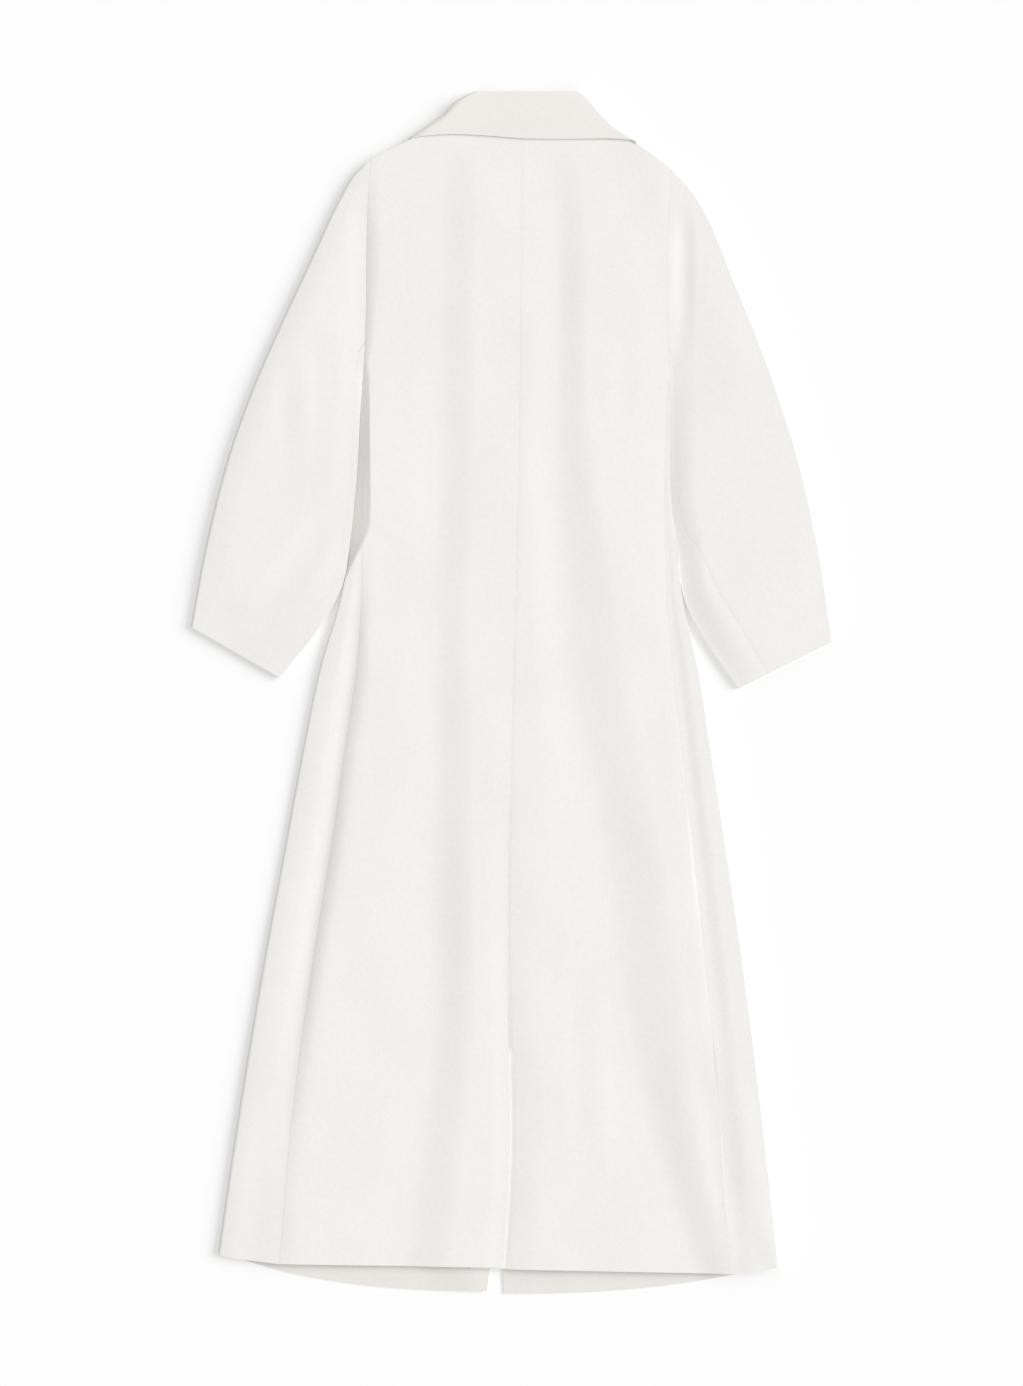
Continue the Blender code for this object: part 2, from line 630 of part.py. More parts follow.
def button(name, x, down):
    """A round button with a softened edge, under the right front."""
    bm = bmesh.new()
    radius = BUTTON_RADIUS * MM
    depth = BUTTON_THICKNESS * MM
    bmesh.ops.create_cone(
        bm, cap_ends=True, segments=BUTTON_SIDES, radius1=radius, radius2=radius, depth=depth
    )
    sharp = [edge for edge in bm.edges if edge.calc_face_angle() > SHARP_ANGLE]
    bmesh.ops.bevel(bm, geom=sharp, offset=BUTTON_ROUND * MM, segments=2, profile=0.5, affect="EDGES")
    centre = place(np.float64(x), np.float64(down), np.float64(BUTTON_THICKNESS / 2))
    bmesh.ops.translate(bm, verts=bm.verts, vec=tuple(centre))
    add_object(name, bm, HORN, HORN_ROUGHNESS)


def build():
    for old in list(bpy.data.objects):
        bpy.data.objects.remove(old, do_unlink=True)
    body_rows = np.linspace(0, 1, BODY_ROWS + 1) ** ROW_CROWDING
    sleeve_rows = np.linspace(0, 1, SLEEVE_ROWS + 1)
    front_columns = stretches(0.0, (1.0, 6), (2.0, 3), (3.0, 9))
    upper_columns = stretches(0.0, (1.0, 13), (2.0, 3), (3.0, 4))
    under_columns = stretches(0.0, (1.0, 2), (2.0, 3), (3.0, 3))
    for side in SIGNS:
        back_columns = np.linspace(0, 1, BACK_COLUMNS[side] + 1)
        upper = sleeve_piece(side, upper=True)
        under = sleeve_piece(side, upper=False)
        cloth_wall(f"back_{side}", back_surface(side), back_columns, body_rows, CLOTH)
        cloth_wall(f"front_{side}", front_surface(side), front_columns, body_rows, CLOTH)
        cloth_wall(f"sleeve_{side}_upper", upper, upper_columns, sleeve_rows, CLOTH, flush=True)
        cloth_wall(f"sleeve_{side}_under", under, under_columns, sleeve_rows, CLOTH, flush=True)
    collar_columns = stretches(-3.0, (-2.0, 3), (-1.0, 8), (1.0, 10), (2.0, 8), (3.0, 3))
    collar_rows = stretches(0.0, (COLLAR_ROLL_START, 4), (1.0, 3))
    cloth_wall("collar_fall", collar_surface, collar_columns, collar_rows, COLLAR_CLOTH)
    cloth_wall("collar_stand", stand_surface, np.linspace(0, 1, 11), np.linspace(0, 1, 4), CLOTH)
    lapel("lapel_left", SIGNS["left"], LEFT_LAPEL)
    lapel("lapel_right", SIGNS["right"], RIGHT_LAPEL)
    for row, down in BUTTON_ROWS.items():
        for side, sign in SIGNS.items():
            button(f"button_{row}_{side}", MIDLINE + sign * BUTTON_OFFSET, down)


build()
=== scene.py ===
"""Looks of a long ivory wool coat, laid flat on its front with its back uppermost.

Every piece of cloth is a thin shell on the form of its solid, with the finer creases added. Tables and
sizes are in millimetres unless a name says metres. "down" runs from the collar's top edge to the hem.
"""

import logging
import math
from collections.abc import Callable, Sequence
from dataclasses import dataclass
from enum import Enum
from typing import NamedTuple

import bmesh
import bpy
import numpy as np
from mathutils import Matrix, Vector


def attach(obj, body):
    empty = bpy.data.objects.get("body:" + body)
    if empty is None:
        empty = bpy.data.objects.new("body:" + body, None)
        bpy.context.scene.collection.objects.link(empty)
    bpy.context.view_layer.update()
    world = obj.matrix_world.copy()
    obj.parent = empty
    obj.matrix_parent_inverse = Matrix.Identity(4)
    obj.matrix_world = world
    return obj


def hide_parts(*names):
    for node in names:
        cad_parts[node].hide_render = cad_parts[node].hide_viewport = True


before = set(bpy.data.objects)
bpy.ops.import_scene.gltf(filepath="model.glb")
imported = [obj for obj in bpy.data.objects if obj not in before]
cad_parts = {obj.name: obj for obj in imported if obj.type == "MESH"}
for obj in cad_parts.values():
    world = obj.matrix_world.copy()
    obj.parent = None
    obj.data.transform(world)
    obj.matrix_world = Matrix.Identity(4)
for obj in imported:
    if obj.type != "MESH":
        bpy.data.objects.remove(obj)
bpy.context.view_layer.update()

LOG = logging.getLogger("coat")
ROOT = "root"  # the one body that every piece rides on

Array = np.ndarray | float
Surface = Callable[[Array, Array], Array]
Colour = tuple[float, float, float, float]

WHITE: Colour = (1.0, 1.0, 1.0, 1.0)
MM = 0.001
TINY = 1e-3  # keeps widths off zero
STEP = 1e-3  # share of a sleeve's length over which the direction of its folds is read
LENGTH = 1333.0  # collar's top edge to the lowest point of the front hems
MIDLINE = 8.0  # x of the line between the two columns of buttons
STRETCH_ENDS = (1.0, 2.0, 3.0)  # of the stretches before, round and beyond a folded edge
CLOTH = 2.0  # wall of the body and the sleeves
COLLAR_CLOTH = 2.6
LAPEL_CLOTH = 3.0  # a lapel is two cloths sewn together
GAP = 0.3  # between neighbouring pieces that only touch
SEAM_GAP = 0.04  # between pieces that are sewn together
FOLD = 3.5  # radius of a folded edge


class Side(Enum):
    """Side of the coat as it lies: left at -X, right at +X."""

    LEFT = "left"
    RIGHT = "right"

    @property
    def sign(self) -> float:
        """Direction of this side along X."""
        return 1.0 if self is Side.RIGHT else -1.0


class SleeveHalf(Enum):
    """The two cut pieces of a sleeve."""

    UPPER = "upper"
    UNDER = "under"


class CreaseForm(Enum):
    """How the cloth runs across a crease: a trough sinks along it, a step climbs over it to the right."""

    TROUGH = "trough"
    STEP = "step"


class Section(NamedTuple):
    """Outline, side seams and centre-back seam of the body at one height."""

    down: float
    left_edge: float
    left_seam: float
    centre: float
    right_seam: float
    right_edge: float


BODY = (
    Section(75, -155.5, -155.5, 10.0, 178.0, 178.0),
    Section(120, -159.0, -159.0, 10.0, 175.0, 175.0),
    Section(170, -160.5, -160.5, 10.0, 173.0, 173.0),
    Section(231, -161.0, -161.0, 10.0, 173.0, 173.0),
    Section(300, -163.3, -163.3, 9.5, 173.5, 173.5),
    Section(322, -165.1, -165.1, 9.2, 173.85, 173.85),
    Section(329, -165.6, -164.9, 9.1, 173.2, 173.95),
    Section(336, -166.2, -164.7, 9.0, 172.5, 174.1),
    Section(346, -167.3, -164.5, 8.9, 171.9, 174.4),
    Section(386, -170.4, -164.5, 8.5, 170.5, 174.95),
    Section(416, -172.0, -164.5, 8.0, 170.2, 175.2),
    Section(442, -174.1, -164.5, 7.5, 170.0, 175.95),
    Section(466, -176.6, -164.7, 6.8, 170.2, 177.35),
    Section(490, -179.4, -165.0, 6.0, 170.5, 180.2),
    Section(520, -182.5, -164.8, 5.5, 171.0, 184.5),
    Section(540, -185.2, -165.0, 4.6, 171.7, 186.8),
    Section(564, -190.5, -166.2, 3.5, 172.5, 189.8),
    Section(633, -211.5, -171.0, 1.0, 178.5, 205.5),
    Section(730, -232.0, -184.8, -1.5, 188.5, 221.5),
    Section(841, -252.5, -200.6, -4.5, 201.0, 238.5),
    Section(952, -273.0, -218.4, -5.0, 213.5, 254.5),
    Section(1063, -292.0, -234.4, -2.5, 224.5, 269.0),
    Section(1174, -309.5, -247.0, -1.5, 233.0, 282.0),
    Section(1250, -320.5, -253.3, -5.0, 238.4, 290.6),
    Section(1310, -329.0, -258.0, -9.5, 242.0, 296.5),
)


class Height(NamedTuple):
    """Height of the back's flat middle."""

    down: float
    middle: float


HEIGHTS = (
    Height(30, 11.6),
    Height(75, 12.1),
    Height(130, 12.5),
    Height(336, 12.6),
    Height(620, 12.2),
    Height(1000, 12.0),
    Height(1310, 11.6),
)


class SideSeam(NamedTuple):
    """How the back meets a side: it rolls down to a height over a width and drops by a steep lip, and the
    side strip beyond climbs to a crest."""

    down: float
    height: float
    roll: float
    lip: float
    crest: float


SIDE_SEAMS = {
    Side.LEFT: (
        SideSeam(30, 11.0, 16.0, 0.0, 0.3),
        SideSeam(85, 11.7, 16.0, 0.0, 0.3),
        SideSeam(120, 11.0, 17.0, 0.0, 0.3),
        SideSeam(155, 10.0, 17.0, 0.0, 0.3),
        SideSeam(186, 9.7, 18.0, 0.0, 0.3),
        SideSeam(231, 10.2, 13.0, 0.2, 0.3),
        SideSeam(275, 10.6, 10.0, 0.3, 0.3),
        SideSeam(310, 11.4, 9.0, 0.1, 0.3),
        SideSeam(338, 12.2, 30.0, 0.0, 0.3),
        SideSeam(370, 13.1, 55.0, 0.0, 0.3),
        SideSeam(500, 13.1, 55.0, 0.0, 0.3),
        SideSeam(545, 12.3, 30.0, 1.0, 0.3),
        SideSeam(580, 11.6, 12.0, 1.3, 0.3),
        SideSeam(640, 11.2, 18.0, 2.1, 0.3),
        SideSeam(700, 10.9, 24.0, 2.3, 0.3),
        SideSeam(1000, 10.8, 26.0, 2.2, 0.3),
        SideSeam(1080, 10.8, 28.0, 1.5, 0.2),
        SideSeam(1174, 10.9, 30.0, 0.7, -0.5),
        SideSeam(1310, 11.0, 30.0, 0.4, -1.4),
    ),
    Side.RIGHT: (
        SideSeam(30, 11.2, 20.0, 0.0, 1.0),
        SideSeam(85, 12.0, 20.0, 0.0, 1.0),
        SideSeam(130, 12.3, 20.0, 0.0, 1.0),
        SideSeam(250, 12.3, 20.0, 0.0, 1.0),
        SideSeam(310, 11.8, 50.0, 0.0, 1.0),
        SideSeam(360, 11.2, 60.0, 0.0, 1.0),
        SideSeam(410, 10.6, 70.0, 0.0, 1.0),
        SideSeam(520, 10.4, 70.0, 0.0, 1.0),
        SideSeam(560, 10.9, 50.0, 0.0, 1.0),
        SideSeam(600, 11.5, 20.0, 0.1, 1.0),
        SideSeam(640, 11.8, 12.0, 0.2, 1.0),
        SideSeam(1000, 11.5, 12.0, 0.2, 1.0),
        SideSeam(1080, 11.7, 14.0, 0.1, 1.0),
        SideSeam(1174, 12.1, 20.0, 0.0, 1.0),
        SideSeam(1310, 12.4, 22.0, 0.0, 1.0),
    ),
}


class Brink(NamedTuple):
    """Where the left side's cloth drops into the deep gap beside the sleeve, how far and over what width."""

    down: float
    x: float
    depth: float
    reach: float


BRINK = (
    Brink(296, -160.5, 0.0, 7.0),
    Brink(322, -157.6, 2.8, 7.5),
    Brink(345, -157.0, 5.0, 9.8),
    Brink(370, -156.9, 7.0, 11.6),
    Brink(408, -156.4, 8.4, 14.0),
    Brink(453, -156.0, 8.8, 18.2),
    Brink(476, -156.5, 8.8, 19.8),
    Brink(487, -158.4, 8.8, 19.3),
    Brink(504, -167.0, 8.6, 12.6),
    Brink(523, -176.6, 6.6, 5.5),
    Brink(538, -183.6, 4.0, 2.5),
    Brink(556, -189.5, 0.0, 2.5),
)


class FrontEdge(NamedTuple):
    """Free edges of the fronts: lapel roll lines down to the waist, then straight to the hem."""

    down: float
    left: float
    right: float


FRONT_EDGES = (
    FrontEdge(28, -67.0, 89.0),
    FrontEdge(200, 13.0, 4.0),
    FrontEdge(340, 79.0, -66.0),
    FrontEdge(400, 91.0, -77.0),
    FrontEdge(490, 83.0, -68.0),
    FrontEdge(900, 32.0, -39.0),
    FrontEdge(LENGTH, -28.0, -8.0),
)


class TopLine(NamedTuple):
    """Top of each back panel, from the centre seam (0) past the neck point to the shoulder point (1)."""

    share: float
    left: float
    right: float


TOP_LINE = (
    TopLine(0.00, 40.0, 40.0),
    TopLine(0.25, 38.5, 37.5),
    TopLine(0.40, 34.5, 31.0),
    TopLine(0.47, 33.5, 29.5),
    TopLine(0.60, 42.0, 40.0),
    TopLine(0.80, 59.0, 62.0),
    TopLine(1.00, 75.5, 86.5),
)


class Valley(NamedTuple):
    """A long soft valley of the back: to the right, the cloth falls into it and climbs out of it."""

    down: float
    x: float
    fall: float
    fall_reach: float
    rise: float
    rise_reach: float


LEFT_VALLEY = (
    Valley(50, -76.0, 0.0, 40.0, 0.0, 40.0),
    Valley(142, -80.0, 0.0, 40.0, 2.0, 42.0),
    Valley(364, -80.0, 0.5, 34.0, 2.1, 40.0),
    Valley(586, -86.0, 0.8, 38.0, 2.2, 42.0),
    Valley(808, -88.0, 0.7, 56.0, 3.8, 46.0),
    Valley(1030, -89.0, 0.6, 60.0, 4.1, 48.0),
    Valley(1310, -122.0, 0.6, 50.0, 3.4, 56.0),
)
RIGHT_VALLEY = (
    Valley(50, 38.0, 0.0, 30.0, 0.0, 40.0),
    Valley(142, 48.0, 0.2, 24.0, 2.0, 34.0),
    Valley(364, 50.0, 1.3, 36.0, 2.5, 38.0),
    Valley(586, 58.0, 1.4, 38.0, 3.4, 62.0),
    Valley(697, 71.0, 1.5, 44.0, 4.2, 70.0),
    Valley(808, 92.0, 1.3, 60.0, 4.6, 70.0),
    Valley(1030, 126.0, 0.6, 60.0, 5.2, 70.0),
    Valley(1141, 149.0, 0.5, 60.0, 5.0, 60.0),
    Valley(1310, 205.0, 0.4, 60.0, 2.4, 34.0),
)


class CentreDip(NamedTuple):
    """How far the right back dips, and the left back's edge curls, towards the centre seam."""

    down: float
    depth: float
    curl: float


CENTRE_DIPS = (
    CentreDip(480, 0.0, 0.0),
    CentreDip(700, 0.7, 0.2),
    CentreDip(880, 1.3, 0.5),
    CentreDip(1000, 2.0, 0.8),
    CentreDip(1310, 2.0, 0.8),
)


class Ring(NamedTuple):
    """A flattened sleeve from armhole (0) to cuff (1): its outer and its inner fold, the heights of its
    middle and of the inner fold, and the back seam's distance in from the inner fold."""

    share: float
    outer_x: float
    outer_down: float
    inner_x: float
    inner_down: float
    height: float
    inner_height: float
    seam: float


LEFT_SLEEVE = (
    Ring(0.00, -154.5, 75.5, -166.2, 336.0, 11.0, 10.8, 7.0),
    Ring(0.07, -175.0, 93.0, -167.0, 345.0, 11.3, 11.0, 7.0),
    Ring(0.15, -193.0, 123.0, -167.8, 357.0, 11.6, 11.3, 7.0),
    Ring(0.30, -227.5, 195.5, -169.3, 392.0, 12.4, 11.8, 7.0),
    Ring(0.45, -261.0, 267.5, -172.8, 442.0, 12.8, 12.0, 7.0),
    Ring(0.60, -291.0, 337.5, -178.4, 492.0, 12.6, 12.0, 7.0),
    Ring(0.75, -317.5, 415.0, -187.9, 549.0, 12.0, 11.6, 10.0),
    Ring(0.88, -340.0, 506.0, -215.5, 597.5, 11.4, 11.0, 16.0),
    Ring(1.00, -356.0, 592.5, -256.4, 649.5, 8.8, 8.4, 22.0),
)
RIGHT_SLEEVE = (
    Ring(0.00, 178.5, 86.5, 174.2, 336.0, 11.6, 11.2, 7.0),
    Ring(0.07, 196.5, 106.0, 174.4, 351.0, 12.2, 11.1, 7.0),
    Ring(0.15, 214.0, 133.0, 174.6, 369.5, 12.8, 10.8, 7.0),
    Ring(0.30, 245.5, 208.5, 175.0, 419.5, 13.5, 10.0, 7.0),
    Ring(0.45, 273.0, 275.5, 177.0, 466.0, 13.8, 9.6, 9.0),
    Ring(0.60, 297.5, 344.0, 183.0, 510.0, 13.5, 9.4, 15.0),
    Ring(0.75, 322.0, 426.0, 192.5, 566.0, 12.8, 8.6, 36.0),
    Ring(0.88, 342.0, 519.5, 218.0, 613.5, 11.6, 8.0, 41.0),
    Ring(1.00, 355.5, 609.5, 251.5, 661.5, 8.8, 7.2, 35.0),
)


class CollarRow(NamedTuple):
    """Both half widths of the collar's flattened ring, from its top edge to its lowest corners."""

    down: float
    left: float
    right: float


COLLAR_ROWS = (
    CollarRow(0, 51.5, 64.5),
    CollarRow(4, 60.5, 70.5),
    CollarRow(11, 72.5, 77.5),
    CollarRow(27, 88.5, 91.0),
    CollarRow(42, 110.0, 107.5),
    CollarRow(57, 132.0, 131.5),
)


class CollarEdge(NamedTuple):
    """How far down the collar's outer edge lies, from its left (-1) to its right (1) turn."""

    across: float
    depth: float


COLLAR_EDGES = (
    CollarEdge(-1.35, 52.0),
    CollarEdge(-1.05, 50.5),
    CollarEdge(-0.80, 48.3),
    CollarEdge(-0.30, 50.0),
    CollarEdge(0.00, 52.6),
    CollarEdge(0.50, 53.3),
    CollarEdge(0.90, 53.3),
    CollarEdge(1.10, 56.0),
    CollarEdge(1.35, 57.0),
)


class Hem(NamedTuple):
    """Hem of one side: at the centre of the back, the side seam, the folded edge and the front's edge."""

    centre: float
    side_seam: float
    fold: float
    front_edge: float


HEMS = {
    Side.LEFT: Hem(1303.0, 1299.0, 1287.0, 1330.0),
    Side.RIGHT: Hem(1304.0, 1310.0, 1301.0, LENGTH),
}


class Corner(NamedTuple):
    """A corner of a lapel."""

    x: float
    down: float


class Knot(NamedTuple):
    """A point on a crease, with the height that it adds there and the reach to either side."""

    x: float
    down: float
    lift: float
    reach: float


class Cut(NamedTuple):
    """A piece's flat cut in metres: width, length and the area within them."""

    width: float
    length: float
    area: float


class Curve:
    """A smooth line through values at given positions, level beyond both ends."""

    def __init__(self, positions: Sequence[float], values: Sequence[float]) -> None:
        """Keeps the points and works out their slopes.

        Args:
            positions: Where the values hold, rising.
            values: The values there.
        """
        self.positions = np.array(positions, dtype=float)
        self.values = np.array(values, dtype=float)
        self.slopes = np.gradient(self.values, self.positions)

    def __call__(self, at: Array) -> Array:
        """Reads the line.

        Args:
            at: Positions to read it at.

        Returns:
            Its values there.
        """
        at = np.clip(at, self.positions[0], self.positions[-1])
        low = np.searchsorted(self.positions, at, side="right") - 1
        low = np.clip(low, 0, len(self.positions) - 2)
        span = self.positions[low + 1] - self.positions[low]
        t = (at - self.positions[low]) / span
        start = self.values[low] * (1 + 2 * t) * (1 - t) ** 2
        end = self.values[low + 1] * t**2 * (3 - 2 * t)
        leave = self.slopes[low] * span * t * (1 - t) ** 2
        arrive = self.slopes[low + 1] * span * t**2 * (t - 1)
        return start + end + leave + arrive


def curves(rows: Sequence[NamedTuple]) -> dict[str, Curve]:
    """Makes a smooth curve of each column of a table.

    Args:
        rows: The table, whose first column is the position.

    Returns:
        The curves by their columns' names.
    """
    columns = dict(zip(rows[0]._fields, zip(*rows)))
    positions = columns.pop(rows[0]._fields[0])
    return {name: Curve(positions, values) for name, values in columns.items()}


def smooth(q: Array) -> Array:
    """Rises from 0 to 1 with level ends."""
    q = np.clip(q, 0.0, 1.0)
    return q * q * (3 - 2 * q)


def rounded(q: Array) -> Array:
    """Quarter ellipse: steep at 0, level at 1."""
    q = np.clip(q, 0.0, 1.0)
    return np.sqrt(1 - (1 - q) ** 2)


def rising(q: Array) -> Array:
    """Parabola that rises from 0 and is level at 1."""
    return 1 - (1 - np.clip(q, 0.0, 1.0)) ** 2


def easing(q: Array) -> Array:
    """Rises almost evenly from 0 and is level at 1."""
    q = np.clip(q, 0.0, 1.0)
    return q * (3 - q * q) / 2


def mix(a: Array, b: Array, share: Array) -> Array:
    """Goes from a to b as share goes from 0 to 1."""
    return a * (1 - share) + b * share


def quarter_turn(places: Array, start: float) -> Array:
    """Angle round a folded edge: none as far as start, a right angle from 1 past it."""
    return np.clip(places - start, 0, 1) * math.pi / 2


def place(x: Array, down: Array, z: Array) -> Array:
    """World points in metres."""
    return np.stack([x * MM, (LENGTH / 2 - down) * MM, z * MM], axis=-1)


def stretches(start: float, *parts: tuple[float, int]) -> Array:
    """Makes even steps along neighbouring stretches.

    Args:
        start: Where the first stretch starts.
        parts: Each stretch's end and its number of steps.

    Returns:
        The places of all steps.
    """
    places = [start]
    for end, steps in parts:
        begin = places[-1]
        places += [begin + (end - begin) * (i + 1) / steps for i in range(steps)]
    return np.array(places)


def crowded(steps: int, crowding: float) -> Array:
    """Makes steps from 0 to 1 that crowd towards both ends.

    Args:
        steps: Number of steps.
        crowding: 0 for even steps, towards 1 for ever closer ones at the ends.

    Returns:
        The places of the steps.
    """
    even = np.linspace(0.0, 1.0, steps + 1)
    return even - crowding * np.sin(2 * math.pi * even) / (2 * math.pi)


@dataclass(frozen=True)
class Crease:
    """A soft crease along a line of knots, headed downwards.

    Attributes:
        form: Whether it is a trough or a step.
        knots: The points that it follows.
    """

    form: CreaseForm
    knots: tuple[Knot, ...]

    STEEPNESS = 3.5  # makes a step's highest and lowest points as high as its lift

    def profile(self, q: Array, side: Array) -> Array:
        """Shape across the crease.

        Args:
            q: Distance from its line, as a share of its reach.
            side: -1 on the left of the line, 1 on the right.

        Returns:
            Height as a share of its lift.
        """
        bump = (1 - np.clip(q, 0.0, 1.0) ** 2) ** 2
        return bump if self.form is CreaseForm.TROUGH else self.STEEPNESS * q * bump * side

    def lift(self, x: Array, down: Array) -> Array:
        """Height that the crease adds.

        Args:
            x: Places across the coat.
            down: Places down the coat.

        Returns:
            The height there.
        """
        nearest = np.full(np.shape(x), np.inf)
        total = np.zeros(np.shape(x))
        for start, end in zip(self.knots, self.knots[1:]):
            run_x = end.x - start.x
            run_down = end.down - start.down
            along = (x - start.x) * run_x + (down - start.down) * run_down
            t = np.clip(along / (run_x**2 + run_down**2), 0.0, 1.0)
            off_x = x - start.x - t * run_x
            off_down = down - start.down - t * run_down
            distance = np.hypot(off_x, off_down)
            side = np.sign(off_x * run_down - off_down * run_x)
            q = distance / mix(start.reach, end.reach, t)
            value = mix(start.lift, end.lift, t) * self.profile(q, side)
            total = np.where(distance < nearest, value, total)
            nearest = np.minimum(distance, nearest)
        return total


def creased(creases: Sequence[Crease], x: Array, down: Array) -> Array:
    """Height that some creases add together."""
    return sum(crease.lift(x, down) for crease in creases)


BACK_CREASES = (
    Crease(CreaseForm.TROUGH, (Knot(124, 285, 0, 18), Knot(124, 335, -0.5, 20), Knot(125, 390, 0, 18))),
    Crease(
        CreaseForm.STEP,
        (Knot(82, 950, 0, 26), Knot(84, 1030, 0.3, 30), Knot(87, 1140, 0.3, 30), Knot(90, 1230, 0, 26)),
    ),
    Crease(
        CreaseForm.STEP,
        (Knot(-159, 478, 0, 12), Knot(-147, 487, 0.5, 16), Knot(-134, 494, 0.3, 16), Knot(-118, 500, 0, 12)),
    ),
)
STRIP_CREASES = (
    Crease(
        CreaseForm.STEP,
        (
            Knot(206, 1040, 0, 30),
            Knot(218, 1085, 0.35, 36),
            Knot(240, 1141, 0.45, 40),
            Knot(251, 1197, 0.5, 40),
            Knot(270, 1252, 0.5, 36),
            Knot(290, 1310, 0.3, 30),
        ),
    ),
)
SLEEVE_CREASES = {
    Side.LEFT: (
        Crease(
            CreaseForm.TROUGH,
            (
                Knot(-178, 430, 0, 20),
                Knot(-196, 464, -0.7, 24),
                Knot(-250, 542, -0.8, 26),
                Knot(-280, 580, 0, 20),
            ),
        ),
        Crease(
            CreaseForm.STEP,
            (Knot(-241, 265, 0, 24), Knot(-241, 340, 0.45, 28), Knot(-241, 430, 0, 24)),
        ),
        Crease(
            CreaseForm.TROUGH,
            (Knot(-262, 278, 0, 18), Knot(-220, 281, -0.3, 20), Knot(-176, 286, 0, 18)),
        ),
    ),
    Side.RIGHT: (
        Crease(
            CreaseForm.TROUGH,
            (
                Knot(190, 125, 0, 14),
                Knot(189, 170, -1.3, 16),
                Knot(189, 240, -1.3, 16),
                Knot(187, 300, 0, 14),
            ),
        ),
    ),
}


@dataclass(frozen=True)
class Wave:
    """One slow wave of the cloth's unevenness.

    Attributes:
        across: Wavelength across the coat.
        along: Wavelength down the coat.
        start: Where the wave starts, in turns.
        height: Half its height.
    """

    across: float
    along: float
    start: float
    height: float

    def lift(self, x: Array, down: Array) -> Array:
        """Height that the wave adds."""
        return self.height * np.sin(2 * math.pi * (x / self.across + down / self.along + self.start))


WAVES = (
    Wave(173.0, 410.0, 0.13, 0.16),
    Wave(-118.0, 260.0, 0.47, 0.10),
    Wave(97.0, -330.0, 0.71, 0.07),
    Wave(640.0, 152.0, 0.29, 0.10),
    Wave(-71.0, 190.0, 0.05, 0.04),
)


def unevenness(x: Array, down: Array) -> Array:
    """Slight height differences that soft cloth keeps even where it lies flat."""
    return sum(wave.lift(x, down) for wave in WAVES)


class Grain(NamedTuple):
    """Fineness of a pattern: its features to the metre, and its number of finer layers."""

    scale: float
    layers: float


@dataclass(frozen=True)
class Wool:
    """Matt ivory wool cloth with a short brushed nap.

    Attributes:
        name: Name of the material.
        pale: Colour of the raised nap.
        deep: Colour between the fibres.
        pale_tone: Tone from which the cloth is pale.
        deep_tone: Tone up to which it is deep.
        clouds: Grain of the slow changes of tone.
        mottling: Grain of the quicker ones.
        fibres: Grain of the fibres.
        brushing: Width of a fibre as a share of its length, which runs down the coat.
        mottling_share: Weight of the mottling beside the clouds.
        fibre_share: Weight of the fibres beside both.
        roughness: Of the cloth.
        roughness_spread: How much rougher or smoother the fibres make it.
        specular: Level of its mirror shine.
        sheen: Weight of the soft shine of the fibres' ends.
        sheen_roughness: How widely that shine spreads.
        sheen_tint: Its colour.
        bump_strength: How strongly the nap shades.
        bump_metres: Height of the nap.
        bump_mottling: Weight of the mottling in the nap's height.
    """

    name: str = "ivory_wool"
    pale: Colour = (0.864, 0.854, 0.832, 1.0)
    deep: Colour = (0.817, 0.799, 0.764, 1.0)
    pale_tone: float = 0.62
    deep_tone: float = 0.30
    clouds: Grain = Grain(11.0, 2.0)
    mottling: Grain = Grain(170.0, 3.0)
    fibres: Grain = Grain(950.0, 4.0)
    brushing: float = 0.32
    mottling_share: float = 0.5
    fibre_share: float = 0.45
    roughness: float = 0.92
    roughness_spread: float = 0.06
    specular: float = 0.2
    sheen: float = 0.18
    sheen_roughness: float = 0.45
    sheen_tint: Colour = (1.0, 0.97, 0.92, 1.0)
    bump_strength: float = 0.3
    bump_metres: float = 0.0005
    bump_mottling: float = 0.3

    def material(self) -> bpy.types.Material:
        """Makes the material: clouds, mottling and fibres colour it, and the last two raise its nap.

        Returns:
            The new material.
        """
        material, shader = new_material(self.name)
        tree = NodeTree(material)
        place_in_object = tree.place_in_object()
        brushed = tree.scaled_along(place_in_object, self.brushing)
        clouds = tree.noise(place_in_object, self.clouds)
        mottling = tree.noise(place_in_object, self.mottling)
        fibres = tree.noise(brushed, self.fibres)
        soft = tree.blend(clouds, mottling, self.mottling_share)
        tone = tree.blend(soft, fibres, self.fibre_share)
        ramp = tree.ramp(tone, (self.deep_tone, self.deep), (self.pale_tone, self.pale))
        tree.link(ramp, shader.inputs["Base Color"])
        rough = tree.spread(fibres, self.roughness, self.roughness_spread)
        tree.link(rough, shader.inputs["Roughness"])
        nap = tree.blend(fibres, mottling, self.bump_mottling)
        tree.link(tree.bump(nap, self.bump_strength, self.bump_metres), shader.inputs["Normal"])
        shader.inputs["Sheen Weight"].default_value = self.sheen
        shader.inputs["Sheen Roughness"].default_value = self.sheen_roughness
        shader.inputs["Sheen Tint"].default_value = self.sheen_tint
        shader.inputs["Specular IOR Level"].default_value = self.specular
        return material


# the inner side is coloured darker and warmer than the outer side: painted shade for the shadow under the
# back's hem, where it shows
SHADED_INNER_WOOL = Wool("wool_inside_painted_shade", pale=(0.824, 0.795, 0.766, 1.0), deep=(0.780, 0.744, 0.704, 1.0))
COLLAR_WOOL = Wool("collar_wool", pale=(0.848, 0.821, 0.794, 1.0), deep=(0.802, 0.768, 0.729, 1.0))


